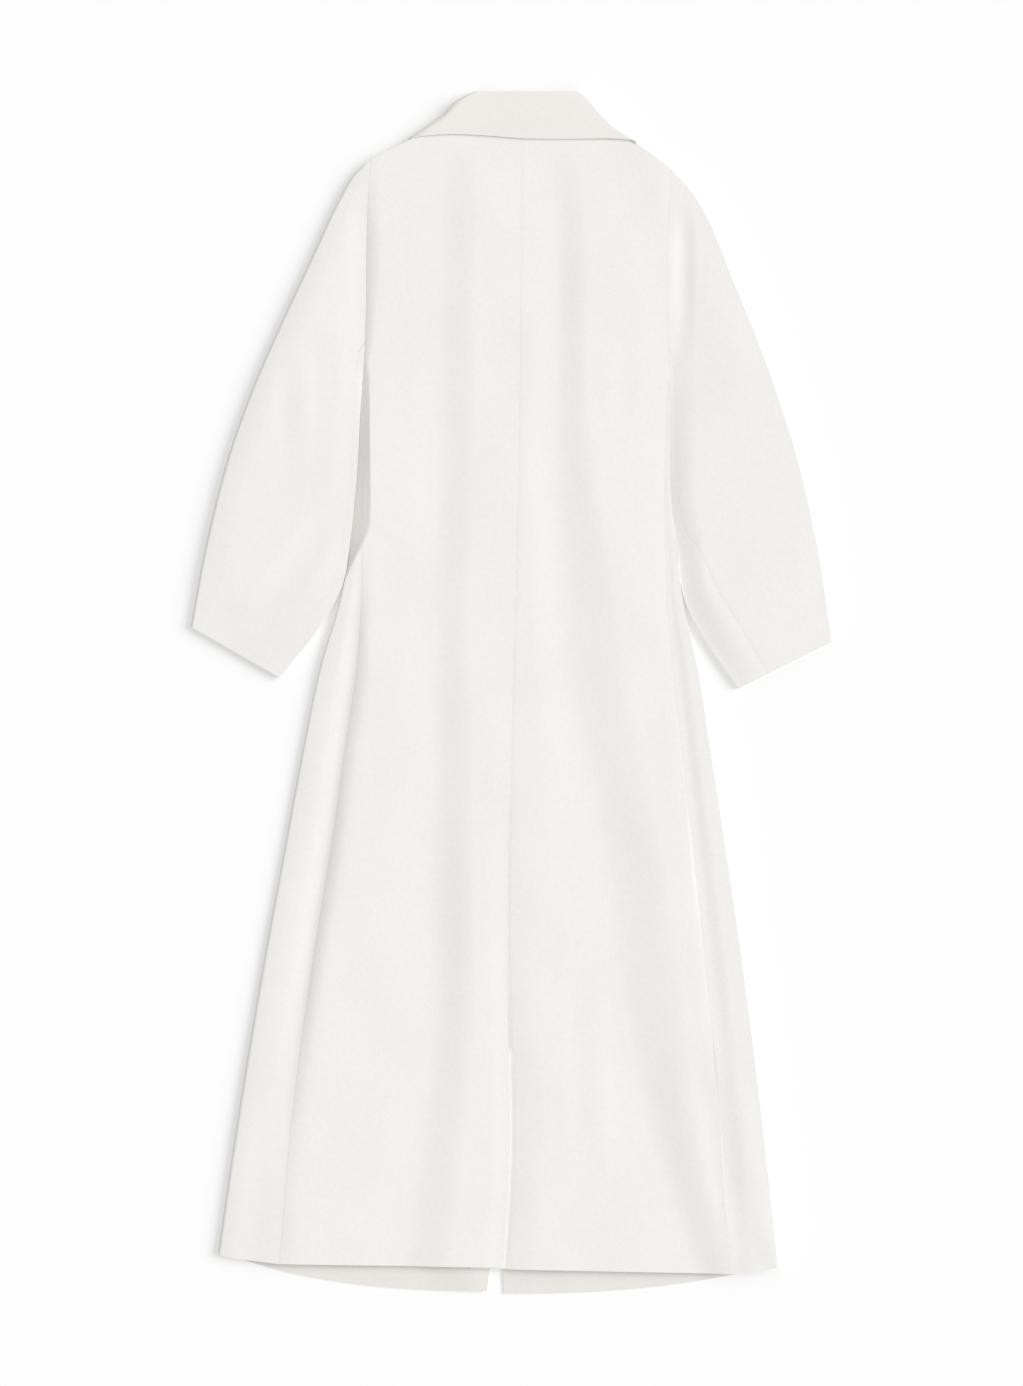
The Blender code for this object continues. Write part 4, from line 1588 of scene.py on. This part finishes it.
@dataclass
class Sleeves:
    """Flattened two-piece sleeves.

    Attributes:
        form: The form of the body.
        cuts: Flat cuts of the pieces.
        outer_height: Height of the outer folded edge.
        outer_round: Width over which that edge is rounded.
        inner_slope: 1 if the sleeve climbs straight from its inner edge, 0 if it leaves it level.
        valley: Width of the valley at the armhole seam.
        seam_sink: How far the cloth is drawn down at the back seam.
        lean: 1 if the inner edge leans out over the deep gap beside the body, 0 if it is round.
        columns: Steps before, round and beyond the folded edge of each cut piece.
        lean_rise: How much higher its outermost line lies where it leans.
        lean_end: Share of the sleeve where the leaning starts to end.
        lean_fade: Share over which it does.
        inner_round: Width over which the inner edge is rounded.
        slope_end: Where the straight climb from the inner edge starts to end.
        slope_fade: Length over which it does.
        fold_spare: The folded edges lie at least this much lower than the sleeve's middle.
        roll: Width over which a sleeve swells from its folded edges.
        seam_reach: Width over which it is drawn down at the back seam.
        underarm: Where the armhole ends.
        underarm_fade: Length above it over which the armhole's valley fades.
        front_seam: On the underside, in from where the inner fold turns under.
        least_square: Least sine of the angle between a sleeve's ring and its folds.
        head_share: Share of the sleeve over which its rings bend to the armhole.
        valley_share: Share of the sleeve over which the armhole's valley fills up.
        rows: Steps along a sleeve.
    """

    form: BodyForm
    cuts: dict[tuple[Side, SleeveHalf], Cut]
    outer_height: dict[Side, float]
    outer_round: dict[Side, float]
    inner_slope: dict[Side, float]
    valley: dict[Side, float]
    seam_sink: dict[Side, float]
    lean: dict[Side, float]
    columns: dict[SleeveHalf, tuple[int, int, int]]
    lean_rise: float = 0.7
    lean_end: float = 0.62
    lean_fade: float = 0.16
    inner_round: float = 0.15
    slope_end: float = 450.0
    slope_fade: float = 60.0
    fold_spare: float = 0.3
    roll: float = 31.0
    seam_reach: float = 5.0
    underarm: float = 336.0
    underarm_fade: float = 40.0
    front_seam: float = 25.0
    least_square: float = 0.12
    head_share: float = 0.25
    valley_share: float = 0.25
    rows: int = 190

    def __post_init__(self) -> None:
        """Makes the curves of the tables."""
        self.rings = {Side.LEFT: curves(LEFT_SLEEVE), Side.RIGHT: curves(RIGHT_SLEEVE)}

    def run(self, side: Side, along: Array) -> tuple[Array, Array, Array]:
        """How far a sleeve's rings run from the outer to the inner fold.

        Args:
            side: Which sleeve.
            along: Places along the sleeve.

        Returns:
            The way across the coat, the way down it, and the length of both together.
        """
        ring = self.rings[side]
        run_x = ring["inner_x"](along) - ring["outer_x"](along)
        run_down = ring["inner_down"](along) - ring["outer_down"](along)
        return run_x, run_down, np.hypot(run_x, run_down)

    def squareness(self, side: Side, fold: str, along: Array) -> Array:
        """Sine of the angle at which a sleeve's rings meet a fold.

        Args:
            side: Which sleeve.
            fold: The outer or the inner fold.
            along: Places along the sleeve.

        Returns:
            The sine there.
        """
        ring = self.rings[side]
        run_x, run_down, width = self.run(side, along)
        fold_x = ring[f"{fold}_x"](along + STEP) - ring[f"{fold}_x"](along - STEP)
        fold_down = ring[f"{fold}_down"](along + STEP) - ring[f"{fold}_down"](along - STEP)
        cross = np.abs(run_x * fold_down - run_down * fold_x)
        sine = cross / (width * np.hypot(fold_x, fold_down))
        return np.maximum(sine, self.least_square)

    def leaning(self, side: Side, along: Array) -> Array:
        """How much the inner edge leans out, which ends towards the cuff."""
        return self.lean[side] * (1 - smooth((along - self.lean_end) / self.lean_fade))

    def from_outer(self, side: Side, around: Array, along: Array) -> Array:
        """Distance from the outer fold, seen from above.

        Args:
            side: Which sleeve.
            around: Places round the sleeve, counted as for the whole sleeve.
            along: Places along it.

        Returns:
            The distance there.
        """
        *_, width = self.run(side, along)
        lean = self.leaning(side, along)
        outer_fold = FOLD / self.squareness(side, "outer", along)
        inner_fold = FOLD * (1 + lean) / self.squareness(side, "inner", along)
        inner_turn = quarter_turn(around, 3)
        below = np.clip(around - 2, 0, 1)
        distance = width * (1 + np.cos(math.pi * np.clip(around, 0, 1))) / 2
        distance = np.where(around > 1, outer_fold * (1 - np.cos(quarter_turn(around, 1))), distance)
        distance = np.where(around > 2, mix(outer_fold, width - inner_fold, below), distance)
        inset = inner_fold * mix(1 - np.sin(inner_turn), np.cos(inner_turn), lean)
        return np.where(around > 3, width - inset, distance)

    def spot(self, side: Side, share: Array, along: Array) -> tuple[Array, Array]:
        """Where a place on a ring lies; the rings near the armhole bend to its line.

        Args:
            side: Which sleeve.
            share: Places from the outer (0) to the inner fold (1).
            along: Places along the sleeve.

        Returns:
            The places across and down the coat.
        """
        ring = self.rings[side]
        run_x, run_down, _ = self.run(side, along)
        x = ring["outer_x"](along) + run_x * share
        down = ring["outer_down"](along) + run_down * share
        first_x = mix(ring["outer_x"](0.0), ring["inner_x"](0.0), share)
        first_down = mix(ring["outer_down"](0.0), ring["inner_down"](0.0), share)
        bow = self.form.edge(side, first_down) + side.sign * SEAM_GAP / 2 - first_x
        return x + bow * (1 - smooth(along / self.head_share)), down

    def sewn_in(self, side: Side, x: Array, down: Array, along: Array, z: Array) -> Array:
        """Brings a sleeve's top to the back's height in the valley at the armhole.

        Args:
            side: Which sleeve.
            x: Places across the coat.
            down: Places down the coat.
            along: Places along the sleeve.
            z: Height of the sleeve without the valley.

        Returns:
            The height there.
        """
        armhole = self.form.edge(side, down)
        near = 1 - smooth(np.abs(x - armhole) / self.valley[side])
        near = near * (1 - smooth(along / self.valley_share))
        near = near * smooth((self.underarm - down) / self.underarm_fade)
        return mix(z, self.form.back_height(side, armhole, down), near)

    def whole(self, side: Side, around: Array, along: Array, seam: Array) -> Array:
        """Points of a sleeve's outer surface.

        Args:
            side: Which sleeve.
            around: Places round the sleeve: 0 to 1 on top, from the inner to the outer fold, 1 to 2 round
                the outer fold, 2 to 3 on the underside, and 3 to 4 round the inner fold.
            along: Places along it, from the armhole (0) to the cuff (1).
            seam: Distance from the back seam.

        Returns:
            The points.
        """
        ring = self.rings[side]
        around = np.mod(around, 4.0)
        *_, width = self.run(side, along)
        from_outer = self.from_outer(side, around, along)
        share = from_outer / width
        x, down = self.spot(side, share, along)
        height = ring["height"](along) + unevenness(x, down)
        height = height + creased(SLEEVE_CREASES[side], x, down)
        inner_square = self.squareness(side, "inner", along)
        outward = from_outer * self.squareness(side, "outer", along)
        inward = (width - from_outer) * inner_square
        fold = mix(self.outer_height[side], ring["inner_height"](along), share)
        fold = np.minimum(fold, ring["height"](along) - self.fold_spare) / 2
        raised = self.lean_rise * self.leaning(side, along)
        inner_edge = mix(rounded(inward / self.inner_round), 1.0, raised)
        turned = fold * (1 + rounded(outward / self.outer_round[side]) * inner_edge)
        straight = self.inner_slope[side] * (1 - smooth((down - self.slope_end) / self.slope_fade))
        inner_swell = mix(smooth(inward / self.roll), easing(inward / self.roll), straight)
        swell = rising(outward / self.roll) * inner_swell
        sunk = self.seam_sink[side] * (1 - rising(seam * inner_square / self.seam_reach))
        z = turned + (height - 2 * fold - sunk) * swell
        z = self.sewn_in(side, x, down, along, z)
        z = np.where(around > 1, fold * (1 - np.sin(quarter_turn(around, 1))), z)
        z = np.where(around > 2, 0.0, z)
        z = np.where(around > 3, fold * (1 + raised) * (1 - np.cos(quarter_turn(around, 3))), z)
        return place(x, down, z)

    def surface(self, side: Side, half: SleeveHalf) -> Surface:
        """Makes the outer surface of a cut piece: the part of the ring between its back and front seam.

        Args:
            side: Which sleeve.
            half: Which piece of it.

        Returns:
            The surface.
        """
        ring = self.rings[side]
        upper = half is SleeveHalf.UPPER
        half_gap = SEAM_GAP / 2 if upper else -SEAM_GAP / 2

        def points(share: Array, along: Array) -> Array:
            """Points of the surface.

            Args:
                share: Places across the piece: 0 to 1 before a fold, 1 to 2 round it, and 2 to 3 beyond it.
                along: From the armhole (0) to the cuff (1).

            Returns:
                The points.
            """
            *_, width = self.run(side, along)
            inner_square = self.squareness(side, "inner", along)
            flat = width - FOLD / self.squareness(side, "outer", along) - FOLD / inner_square
            from_fold = (ring["seam"](along) + half_gap) / inner_square
            back = np.arccos(1 - 2 * from_fold / width) / math.pi
            front = 3 - (self.front_seam + half_gap / inner_square) / flat
            if upper:
                around = np.where(share < 1, mix(back, 1.0, share), share)
                around = np.where(share > 2, mix(2.0, front, share - 2), around)
            else:
                around = np.where(share < 1, mix(front, 3.0, share), share + 2)
                around = np.where(share > 2, mix(4.0, 4.0 + back, share - 2), around)
            on_top = np.clip(np.mod(around, 4.0), 0, 1)
            seam = np.abs(width * (1 - np.cos(math.pi * on_top)) / 2 - from_fold)
            return self.whole(side, around, along, seam)

        return points

    def build(self, tailor: Tailor) -> None:
        """Lays the four pieces.

        Args:
            tailor: Who makes the cloth.
        """
        along = np.linspace(0.0, 1.0, self.rows + 1)
        for (side, half), cut in self.cuts.items():
            node = f"sleeve_{side.value}_{half.value}"
            across = stretches(0.0, *zip(STRETCH_ENDS, self.columns[half]))
            tailor.sheet(node, self.surface(side, half), across, along, CLOTH, cut)


@dataclass
class Collar:
    """The turned-down collar: a fall that is flattened round the neck, and the stand inside it.

    Attributes:
        form: The form of the body.
        fall_cut: Flat cut of the fall.
        stand_cut: Flat cut of the stand.
        centre_x: x of its centre.
        roll: Radius of the roll along its top.
        roll_start: Share of the fall, from its outer edge, where it starts to roll over.
        bend_top: Reach of the turn round the neck, at the roll.
        bend_edge: The same at the outer edge.
        right_bend: Share of that reach at the right, where it is pressed flat.
        height: At the roll.
        edge_lift: How much higher the outer edge lies, over the back.
        crown: How much the fall swells between roll and edge.
        gorge_inner: Inner end of the seam with the lapel: from the centre, and down.
        gorge_outer: Outer end of that seam.
        stand_left: x of the stand's left end at the neck seam.
        stand_right: x of its right end.
        stand_narrowing: The stand's width at the top, as a share of that at the seam.
        stand_top_down: Where its top lies.
        stand_top_height: Height of its top.
        end_columns: Steps along each front end of the fall.
        turn_columns: Steps round each side of the neck.
        back_columns: Steps across the back of the fall.
        fall_rows: Steps from its outer edge to where it rolls over.
        roll_rows: Steps round the roll.
        stand_columns: Steps along the stand.
        stand_rows: Steps up the stand.
    """

    form: BodyForm
    fall_cut: Cut
    stand_cut: Cut
    centre_x: float = 10.0
    roll: float = 3.2
    roll_start: float = 0.75
    bend_top: float = 7.0
    bend_edge: float = 12.0
    right_bend: float = 0.25
    height: float = 13.6
    edge_lift: float = 1.1
    crown: float = 0.7
    gorge_inner: Corner = Corner(46.0, 102.0)
    gorge_outer: Corner = Corner(92.0, 120.0)
    stand_left: float = -62.0
    stand_right: float = 84.0
    stand_narrowing: float = 0.58
    stand_top_down: float = 1.0
    stand_top_height: float = 9.9
    end_columns: int = 16
    turn_columns: int = 18
    back_columns: int = 80
    fall_rows: int = 22
    roll_rows: int = 8
    stand_columns: int = 60
    stand_rows: int = 16

    def __post_init__(self) -> None:
        """Makes the curves of the tables."""
        self.half = curves(COLLAR_ROWS)
        self.edge = curves(COLLAR_EDGES)["depth"]

    def fall(self, across: Array, up: Array) -> Array:
        """Points of the fall's outer surface.

        Args:
            across: 0 at the centre back, 1 to 2 round the side of the neck, 3 at a front end below.
            up: 0 at the outer edge, 1 at the roll.

        Returns:
            The points.
        """
        sign = np.sign(across)
        reach = np.abs(across)
        rise = np.clip(up / self.roll_start, 0, 1)
        roll = np.clip((up - self.roll_start) / (1 - self.roll_start), 0, 1) * math.pi / 2
        depth = self.edge(across)
        down = mix(depth, self.roll, rise) - self.roll * np.sin(roll)
        inset = self.roll * (1 - np.cos(roll))
        share = down / depth
        half = np.where(across < 0, self.half["left"](down), self.half["right"](down))
        top = self.height + self.edge_lift * share
        bend = mix(self.bend_top, self.bend_edge, share) * np.where(across < 0, 1.0, self.right_bend)
        turn = np.clip(reach - 1, 0, 1) * math.pi
        below = np.clip(reach - 2, 0, 1)
        front_x = mix(self.gorge_inner.x, self.gorge_outer.x, share)
        front_down = mix(self.gorge_inner.down, self.gorge_outer.down, share)
        x = (half - bend) * np.clip(reach, 0, 1) + bend * np.sin(turn)
        x = np.where(reach > 2, mix(half - bend, front_x, below), x)
        swell = self.crown * np.sin(math.pi * rise) + unevenness(sign * x, down) * rising(rise)
        z = top / 2 + (top / 2 - inset) * np.cos(turn) + swell * (1 - smooth(reach - 1))
        return place(self.centre_x + sign * x, mix(down, front_down, below), z)

    def stand(self, across: Array, up: Array) -> Array:
        """Points of the stand's upper surface.

        Args:
            across: From its left to its right end.
            up: From the neck seam (0) to just under the roll (1).

        Returns:
            The points.
        """
        form = self.form
        neck_x = mix(self.stand_left, self.stand_right, across)
        x = mix(neck_x, self.centre_x + (neck_x - self.centre_x) * self.stand_narrowing, up)
        left = form.top(Side.LEFT, form.top_share(Side.LEFT, neck_x))
        right = form.top(Side.RIGHT, form.top_share(Side.RIGHT, neck_x))
        neck = np.where(neck_x < BODY[0].centre, left, right) - GAP
        down = mix(neck, self.stand_top_down, up)
        return place(x, down, mix(form.heights["middle"](0.0), self.stand_top_height, up))

    def build(self, tailor: Tailor) -> None:
        """Lays the fall and the stand.

        Args:
            tailor: Who makes the cloth.
        """
        across = stretches(
            -3.0,
            (-2.0, self.end_columns),
            (-1.0, self.turn_columns),
            (1.0, self.back_columns),
            (2.0, self.turn_columns),
            (3.0, self.end_columns),
        )
        up = stretches(0.0, (self.roll_start, self.fall_rows), (1.0, self.roll_rows))
        tailor.sheet("collar_fall", self.fall, across, up, COLLAR_CLOTH, self.fall_cut)
        across = np.linspace(0.0, 1.0, self.stand_columns + 1)
        up = np.linspace(0.0, 1.0, self.stand_rows + 1)
        tailor.sheet("collar_stand", self.stand, across, up, CLOTH, self.stand_cut)


@dataclass
class Lapels:
    """Lapels, turned out flat under the fronts.

    Attributes:
        collar: The collar that they are sewn to.
        corners: Their corners, from the collar seam round to the lower end.
        cuts: Their flat cuts.
        rounding: Width of their softened edges.
        rounding_steps: Steps of the softening.
    """

    collar: Collar
    corners: dict[Side, tuple[Corner, ...]]
    cuts: dict[Side, Cut]
    rounding: float = 1.3
    rounding_steps: int = 4

    def build(self, tailor: Tailor) -> None:
        """Lays both lapels.

        Args:
            tailor: Who makes the cloth.
        """
        for side in Side:
            gorge = [
                Corner(self.collar.centre_x + side.sign * end.x, end.down + 2 * GAP)
                for end in (self.collar.gorge_inner, self.collar.gorge_outer)
            ]
            bm = bmesh.new()
            outline = [bm.verts.new(place(c.x, c.down, 0.0)) for c in (*gorge, *self.corners[side])]
            face = bm.faces.new(outline)
            made = bmesh.ops.extrude_face_region(bm, geom=[face], use_keep_orig=True)
            lifted = [item for item in made["geom"] if isinstance(item, bmesh.types.BMVert)]
            bmesh.ops.translate(bm, verts=lifted, vec=(0.0, 0.0, LAPEL_CLOTH * MM))
            bmesh.ops.recalc_face_normals(bm, faces=bm.faces)
            bmesh.ops.bevel(
                bm,
                geom=bm.edges[:],
                offset=self.rounding * MM,
                segments=self.rounding_steps,
                profile=0.5,
                affect="EDGES",
                material=-1,
            )
            bmesh.ops.triangulate(bm, faces=[face for face in bm.faces if len(face.verts) > 4])
            node = f"lapel_{side.value}"
            tailor.declare(tailor.finish(node, bm), node, self.cuts[side])


@dataclass
class Buttons:
    """Four-hole buttons in two rows of two, sewn on with thread below the fronts.

    Attributes:
        horn: Material of the discs.
        thread: Material of the stitches.
        offset: From the line between the two columns to each of them.
        rows: Where the rows lie.
        radius: Of the raised rim's middle.
        rim: Radius of the rim's round section.
        rim_height: Height of its middle over the surface.
        plate_low: Height of the dished face, which looks down.
        plate_high: Height of the back.
        hole_offset: From the centre to each hole, along both axes.
        hole_radius: Of the four holes.
        sides: Steps round the disc.
        rim_sides: Steps round the rim's section.
        hole_sides: Steps round a hole.
        stitch: Half length, half width and half height of a stitch.
        stitch_sides: Steps round a stitch.
        stitch_rings: Steps from its top to its bottom.
    """

    horn: bpy.types.Material
    thread: bpy.types.Material
    offset: float = 55.0
    rows: tuple[tuple[str, float], ...] = (("upper", 392.0), ("lower", 489.0))
    radius: float = 11.1
    rim: float = 1.35
    rim_height: float = 1.4
    plate_low: float = 0.8
    plate_high: float = 2.1
    hole_offset: float = 2.1
    hole_radius: float = 1.0
    sides: int = 48
    rim_sides: int = 14
    hole_sides: int = 14
    stitch: tuple[float, float, float] = (2.6, 0.55, 0.4)
    stitch_sides: int = 12
    stitch_rings: int = 8

    def disc(self) -> bmesh.types.BMesh:
        """Models a disc with a round rim and four holes, centred on the origin.

        Returns:
            The mesh, in millimetres.
        """
        bm = bmesh.new()
        bmesh.ops.create_circle(bm, segments=self.sides, radius=self.radius)
        for x in (-self.hole_offset, self.hole_offset):
            for y in (-self.hole_offset, self.hole_offset):
                spot = Matrix.Translation((x, y, 0.0))
                bmesh.ops.create_circle(bm, segments=self.hole_sides, radius=self.hole_radius, matrix=spot)
        filled = bmesh.ops.triangle_fill(bm, edges=bm.edges[:], use_beauty=True)
        faces = [item for item in filled["geom"] if isinstance(item, bmesh.types.BMFace)]
        bmesh.ops.translate(bm, verts=bm.verts[:], vec=(0.0, 0.0, self.plate_low))
        made = bmesh.ops.extrude_face_region(bm, geom=faces, use_keep_orig=True)
        lifted = [item for item in made["geom"] if isinstance(item, bmesh.types.BMVert)]
        bmesh.ops.translate(bm, verts=lifted, vec=(0.0, 0.0, self.plate_high - self.plate_low))
        spot = Matrix.Translation((self.radius, 0.0, self.rim_height)) @ Matrix.Rotation(math.pi / 2, 4, "X")
        section = bmesh.ops.create_circle(bm, segments=self.rim_sides, radius=self.rim, matrix=spot)["verts"]
        edges = {edge for vert in section for edge in vert.link_edges}
        bmesh.ops.spin(
            bm,
            geom=[*section, *edges],
            cent=(0.0, 0.0, 0.0),
            axis=(0.0, 0.0, 1.0),
            angle=2 * math.pi,
            steps=self.sides,
            use_merge=True,
        )
        bmesh.ops.recalc_face_normals(bm, faces=bm.faces)
        return bm

    def stitches(self) -> bmesh.types.BMesh:
        """Models two stitches on each face of a disc that is centred on the origin.

        Returns:
            The mesh, in millimetres.
        """
        bm = bmesh.new()
        for y in (-self.hole_offset, self.hole_offset):
            for z in (self.plate_low, self.plate_high):
                made = bmesh.ops.create_uvsphere(
                    bm, u_segments=self.stitch_sides, v_segments=self.stitch_rings, radius=1.0
                )
                bmesh.ops.scale(bm, verts=made["verts"], vec=self.stitch)
                bmesh.ops.translate(bm, verts=made["verts"], vec=(0.0, y, z))
        return bm

    def build(self) -> None:
        """Places the four buttons and their stitches."""
        for row, down in self.rows:
            for side in Side:
                node = f"button_{row}_{side.value}"
                centre = Vector(place(MIDLINE + side.sign * self.offset, down, 0.0))
                parts = (
                    (f"{node}_disc", self.disc(), self.horn),
                    (f"{node}_thread", self.stitches(), self.thread),
                )
                for name, bm, material in parts:
                    bmesh.ops.scale(bm, verts=bm.verts, vec=(MM, MM, MM))
                    bmesh.ops.translate(bm, verts=bm.verts, vec=centre)
                    piece = add_object(name, bm, material)
                    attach(piece, ROOT)
                    if material is self.horn:
                        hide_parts(node)
                    LOG.info("%s: button part", piece.name)


@dataclass
class Studio:
    """Pale floor, soft light from the right, and a camera straight above.

    Attributes:
        paper: Finish of the floor.
        floor_metres: Half the floor's width.
        floor_drop_metres: How far the floor lies below the coat.
        sky: Strength of the light from all round.
        sun: Strength of the light from the right.
        sun_elevation: Its angle above the floor, in degrees.
        sun_turn: How far it comes from above the coat's right side, in degrees.
        sun_width: How wide it looks, in degrees.
        camera_metres: Height of the camera.
        picture_scale: Millimetres of the coat to a pixel of the photograph.
        picture_height: Pixels of the photograph's height.
        sensor: Longer side of the camera's sensor.
    """

    paper: Paper
    floor_metres: float = 12.0
    floor_drop_metres: float = 0.0003
    sky: float = 0.60
    sun: float = 2.33
    sun_elevation: float = 36.0
    sun_turn: float = 11.0
    sun_width: float = 42.0
    camera_metres: float = 4.5
    picture_scale: float = 1.11
    picture_height: int = 1386
    sensor: float = 36.0

    def floor(self) -> None:
        """Lays the floor."""
        bm = bmesh.new()
        bmesh.ops.create_grid(bm, x_segments=1, y_segments=1, size=self.floor_metres)
        bmesh.ops.translate(bm, verts=bm.verts, vec=(0.0, 0.0, -self.floor_drop_metres))
        add_object("floor", bm, self.paper.material())

    def light(self) -> None:
        """Lights the coat softly from all round and from the right."""
        scene = bpy.context.scene
        world = bpy.data.worlds.new("studio")
        world.use_nodes = True
        background = world.node_tree.nodes["Background"]
        background.inputs["Color"].default_value = WHITE
        background.inputs["Strength"].default_value = self.sky
        scene.world = world
        lamp = bpy.data.lights.new("window", "SUN")
        lamp.energy = self.sun
        lamp.angle = math.radians(self.sun_width)
        window = bpy.data.objects.new("window", lamp)
        turn = math.radians(self.sun_turn)
        rise = math.radians(self.sun_elevation)
        towards = Vector((math.cos(rise) * math.cos(turn), math.cos(rise) * math.sin(turn), math.sin(rise)))
        window.rotation_mode = "QUATERNION"
        window.rotation_quaternion = towards.to_track_quat("Z", "Y")
        scene.collection.objects.link(window)
        scene.view_settings.view_transform = "Standard"

    def camera(self) -> None:
        """Hangs the camera over the coat, so that it fills the frame as in the photograph."""
        lens = bpy.data.cameras.new("camera")
        lens.sensor_width = self.sensor
        lens.lens = self.sensor * self.camera_metres / (self.picture_scale * self.picture_height * MM)
        camera = bpy.data.objects.new("camera", lens)
        camera.location = (0.0, 0.0, self.camera_metres)
        bpy.context.scene.collection.objects.link(camera)
        bpy.context.scene.camera = camera

    def build(self) -> None:
        """Sets up the floor, the light and the camera."""
        self.floor()
        self.light()
        self.camera()


def main() -> None:
    """Builds the studio and the coat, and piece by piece."""
    logging.basicConfig(level=logging.INFO, format="%(message)s")
    Studio(Paper()).build()
    reverse = SHADED_INNER_WOOL.material()
    tailor = Tailor(Wool().material(), reverse)
    collar_tailor = Tailor(COLLAR_WOOL.material(), reverse)
    form = BodyForm()
    Back(
        form,
        cuts={Side.LEFT: Cut(0.25, 1.27, 0.238), Side.RIGHT: Cut(0.29, 1.29, 0.255)},
    ).build(tailor)
    Fronts(
        form,
        cuts={Side.LEFT: Cut(0.38, 1.34, 0.372), Side.RIGHT: Cut(0.37, 1.35, 0.360)},
        edge_drop={Side.LEFT: 1.3, Side.RIGHT: 0.2},
        edge_round={Side.LEFT: 3.5, Side.RIGHT: 0.8},
        round_share={Side.LEFT: 0.06, Side.RIGHT: 0.03},
    ).build(tailor)
    Sleeves(
        form,
        cuts={
            (Side.LEFT, SleeveHalf.UPPER): Cut(0.41, 0.56, 0.115),
            (Side.LEFT, SleeveHalf.UNDER): Cut(0.06, 0.39, 0.0132),
            (Side.RIGHT, SleeveHalf.UPPER): Cut(0.41, 0.56, 0.108),
            (Side.RIGHT, SleeveHalf.UNDER): Cut(0.07, 0.39, 0.0158),
        },
        outer_height={Side.LEFT: 10.2, Side.RIGHT: 13.4},
        outer_round={Side.LEFT: 3.5, Side.RIGHT: 0.6},
        inner_slope={Side.LEFT: 0.0, Side.RIGHT: 1.0},
        lean={Side.LEFT: 1.0, Side.RIGHT: 0.0},
        valley={Side.LEFT: 26.0, Side.RIGHT: 20.0},
        seam_sink={Side.LEFT: 0.0, Side.RIGHT: 0.15},
        columns={SleeveHalf.UPPER: (96, 8, 26), SleeveHalf.UNDER: (10, 8, 16)},
    ).build(tailor)
    collar = Collar(form, fall_cut=Cut(0.10, 0.45, 0.024), stand_cut=Cut(0.045, 0.15, 0.0043))
    collar.build(collar_tailor)
    Lapels(
        collar,
        corners={
            Side.LEFT: (Corner(-104, 172), Corner(-70, 214), Corner(-24, 250), Corner(6, 192)),
            Side.RIGHT: (Corner(122, 172), Corner(48, 258), Corner(-68, 352)),
        },
        cuts={Side.LEFT: Cut(0.11, 0.17, 0.011), Side.RIGHT: Cut(0.13, 0.27, 0.017)},
    ).build(tailor)
    Buttons(Horn().material(), Thread().material()).build()


if __name__ == "__main__":
    main()
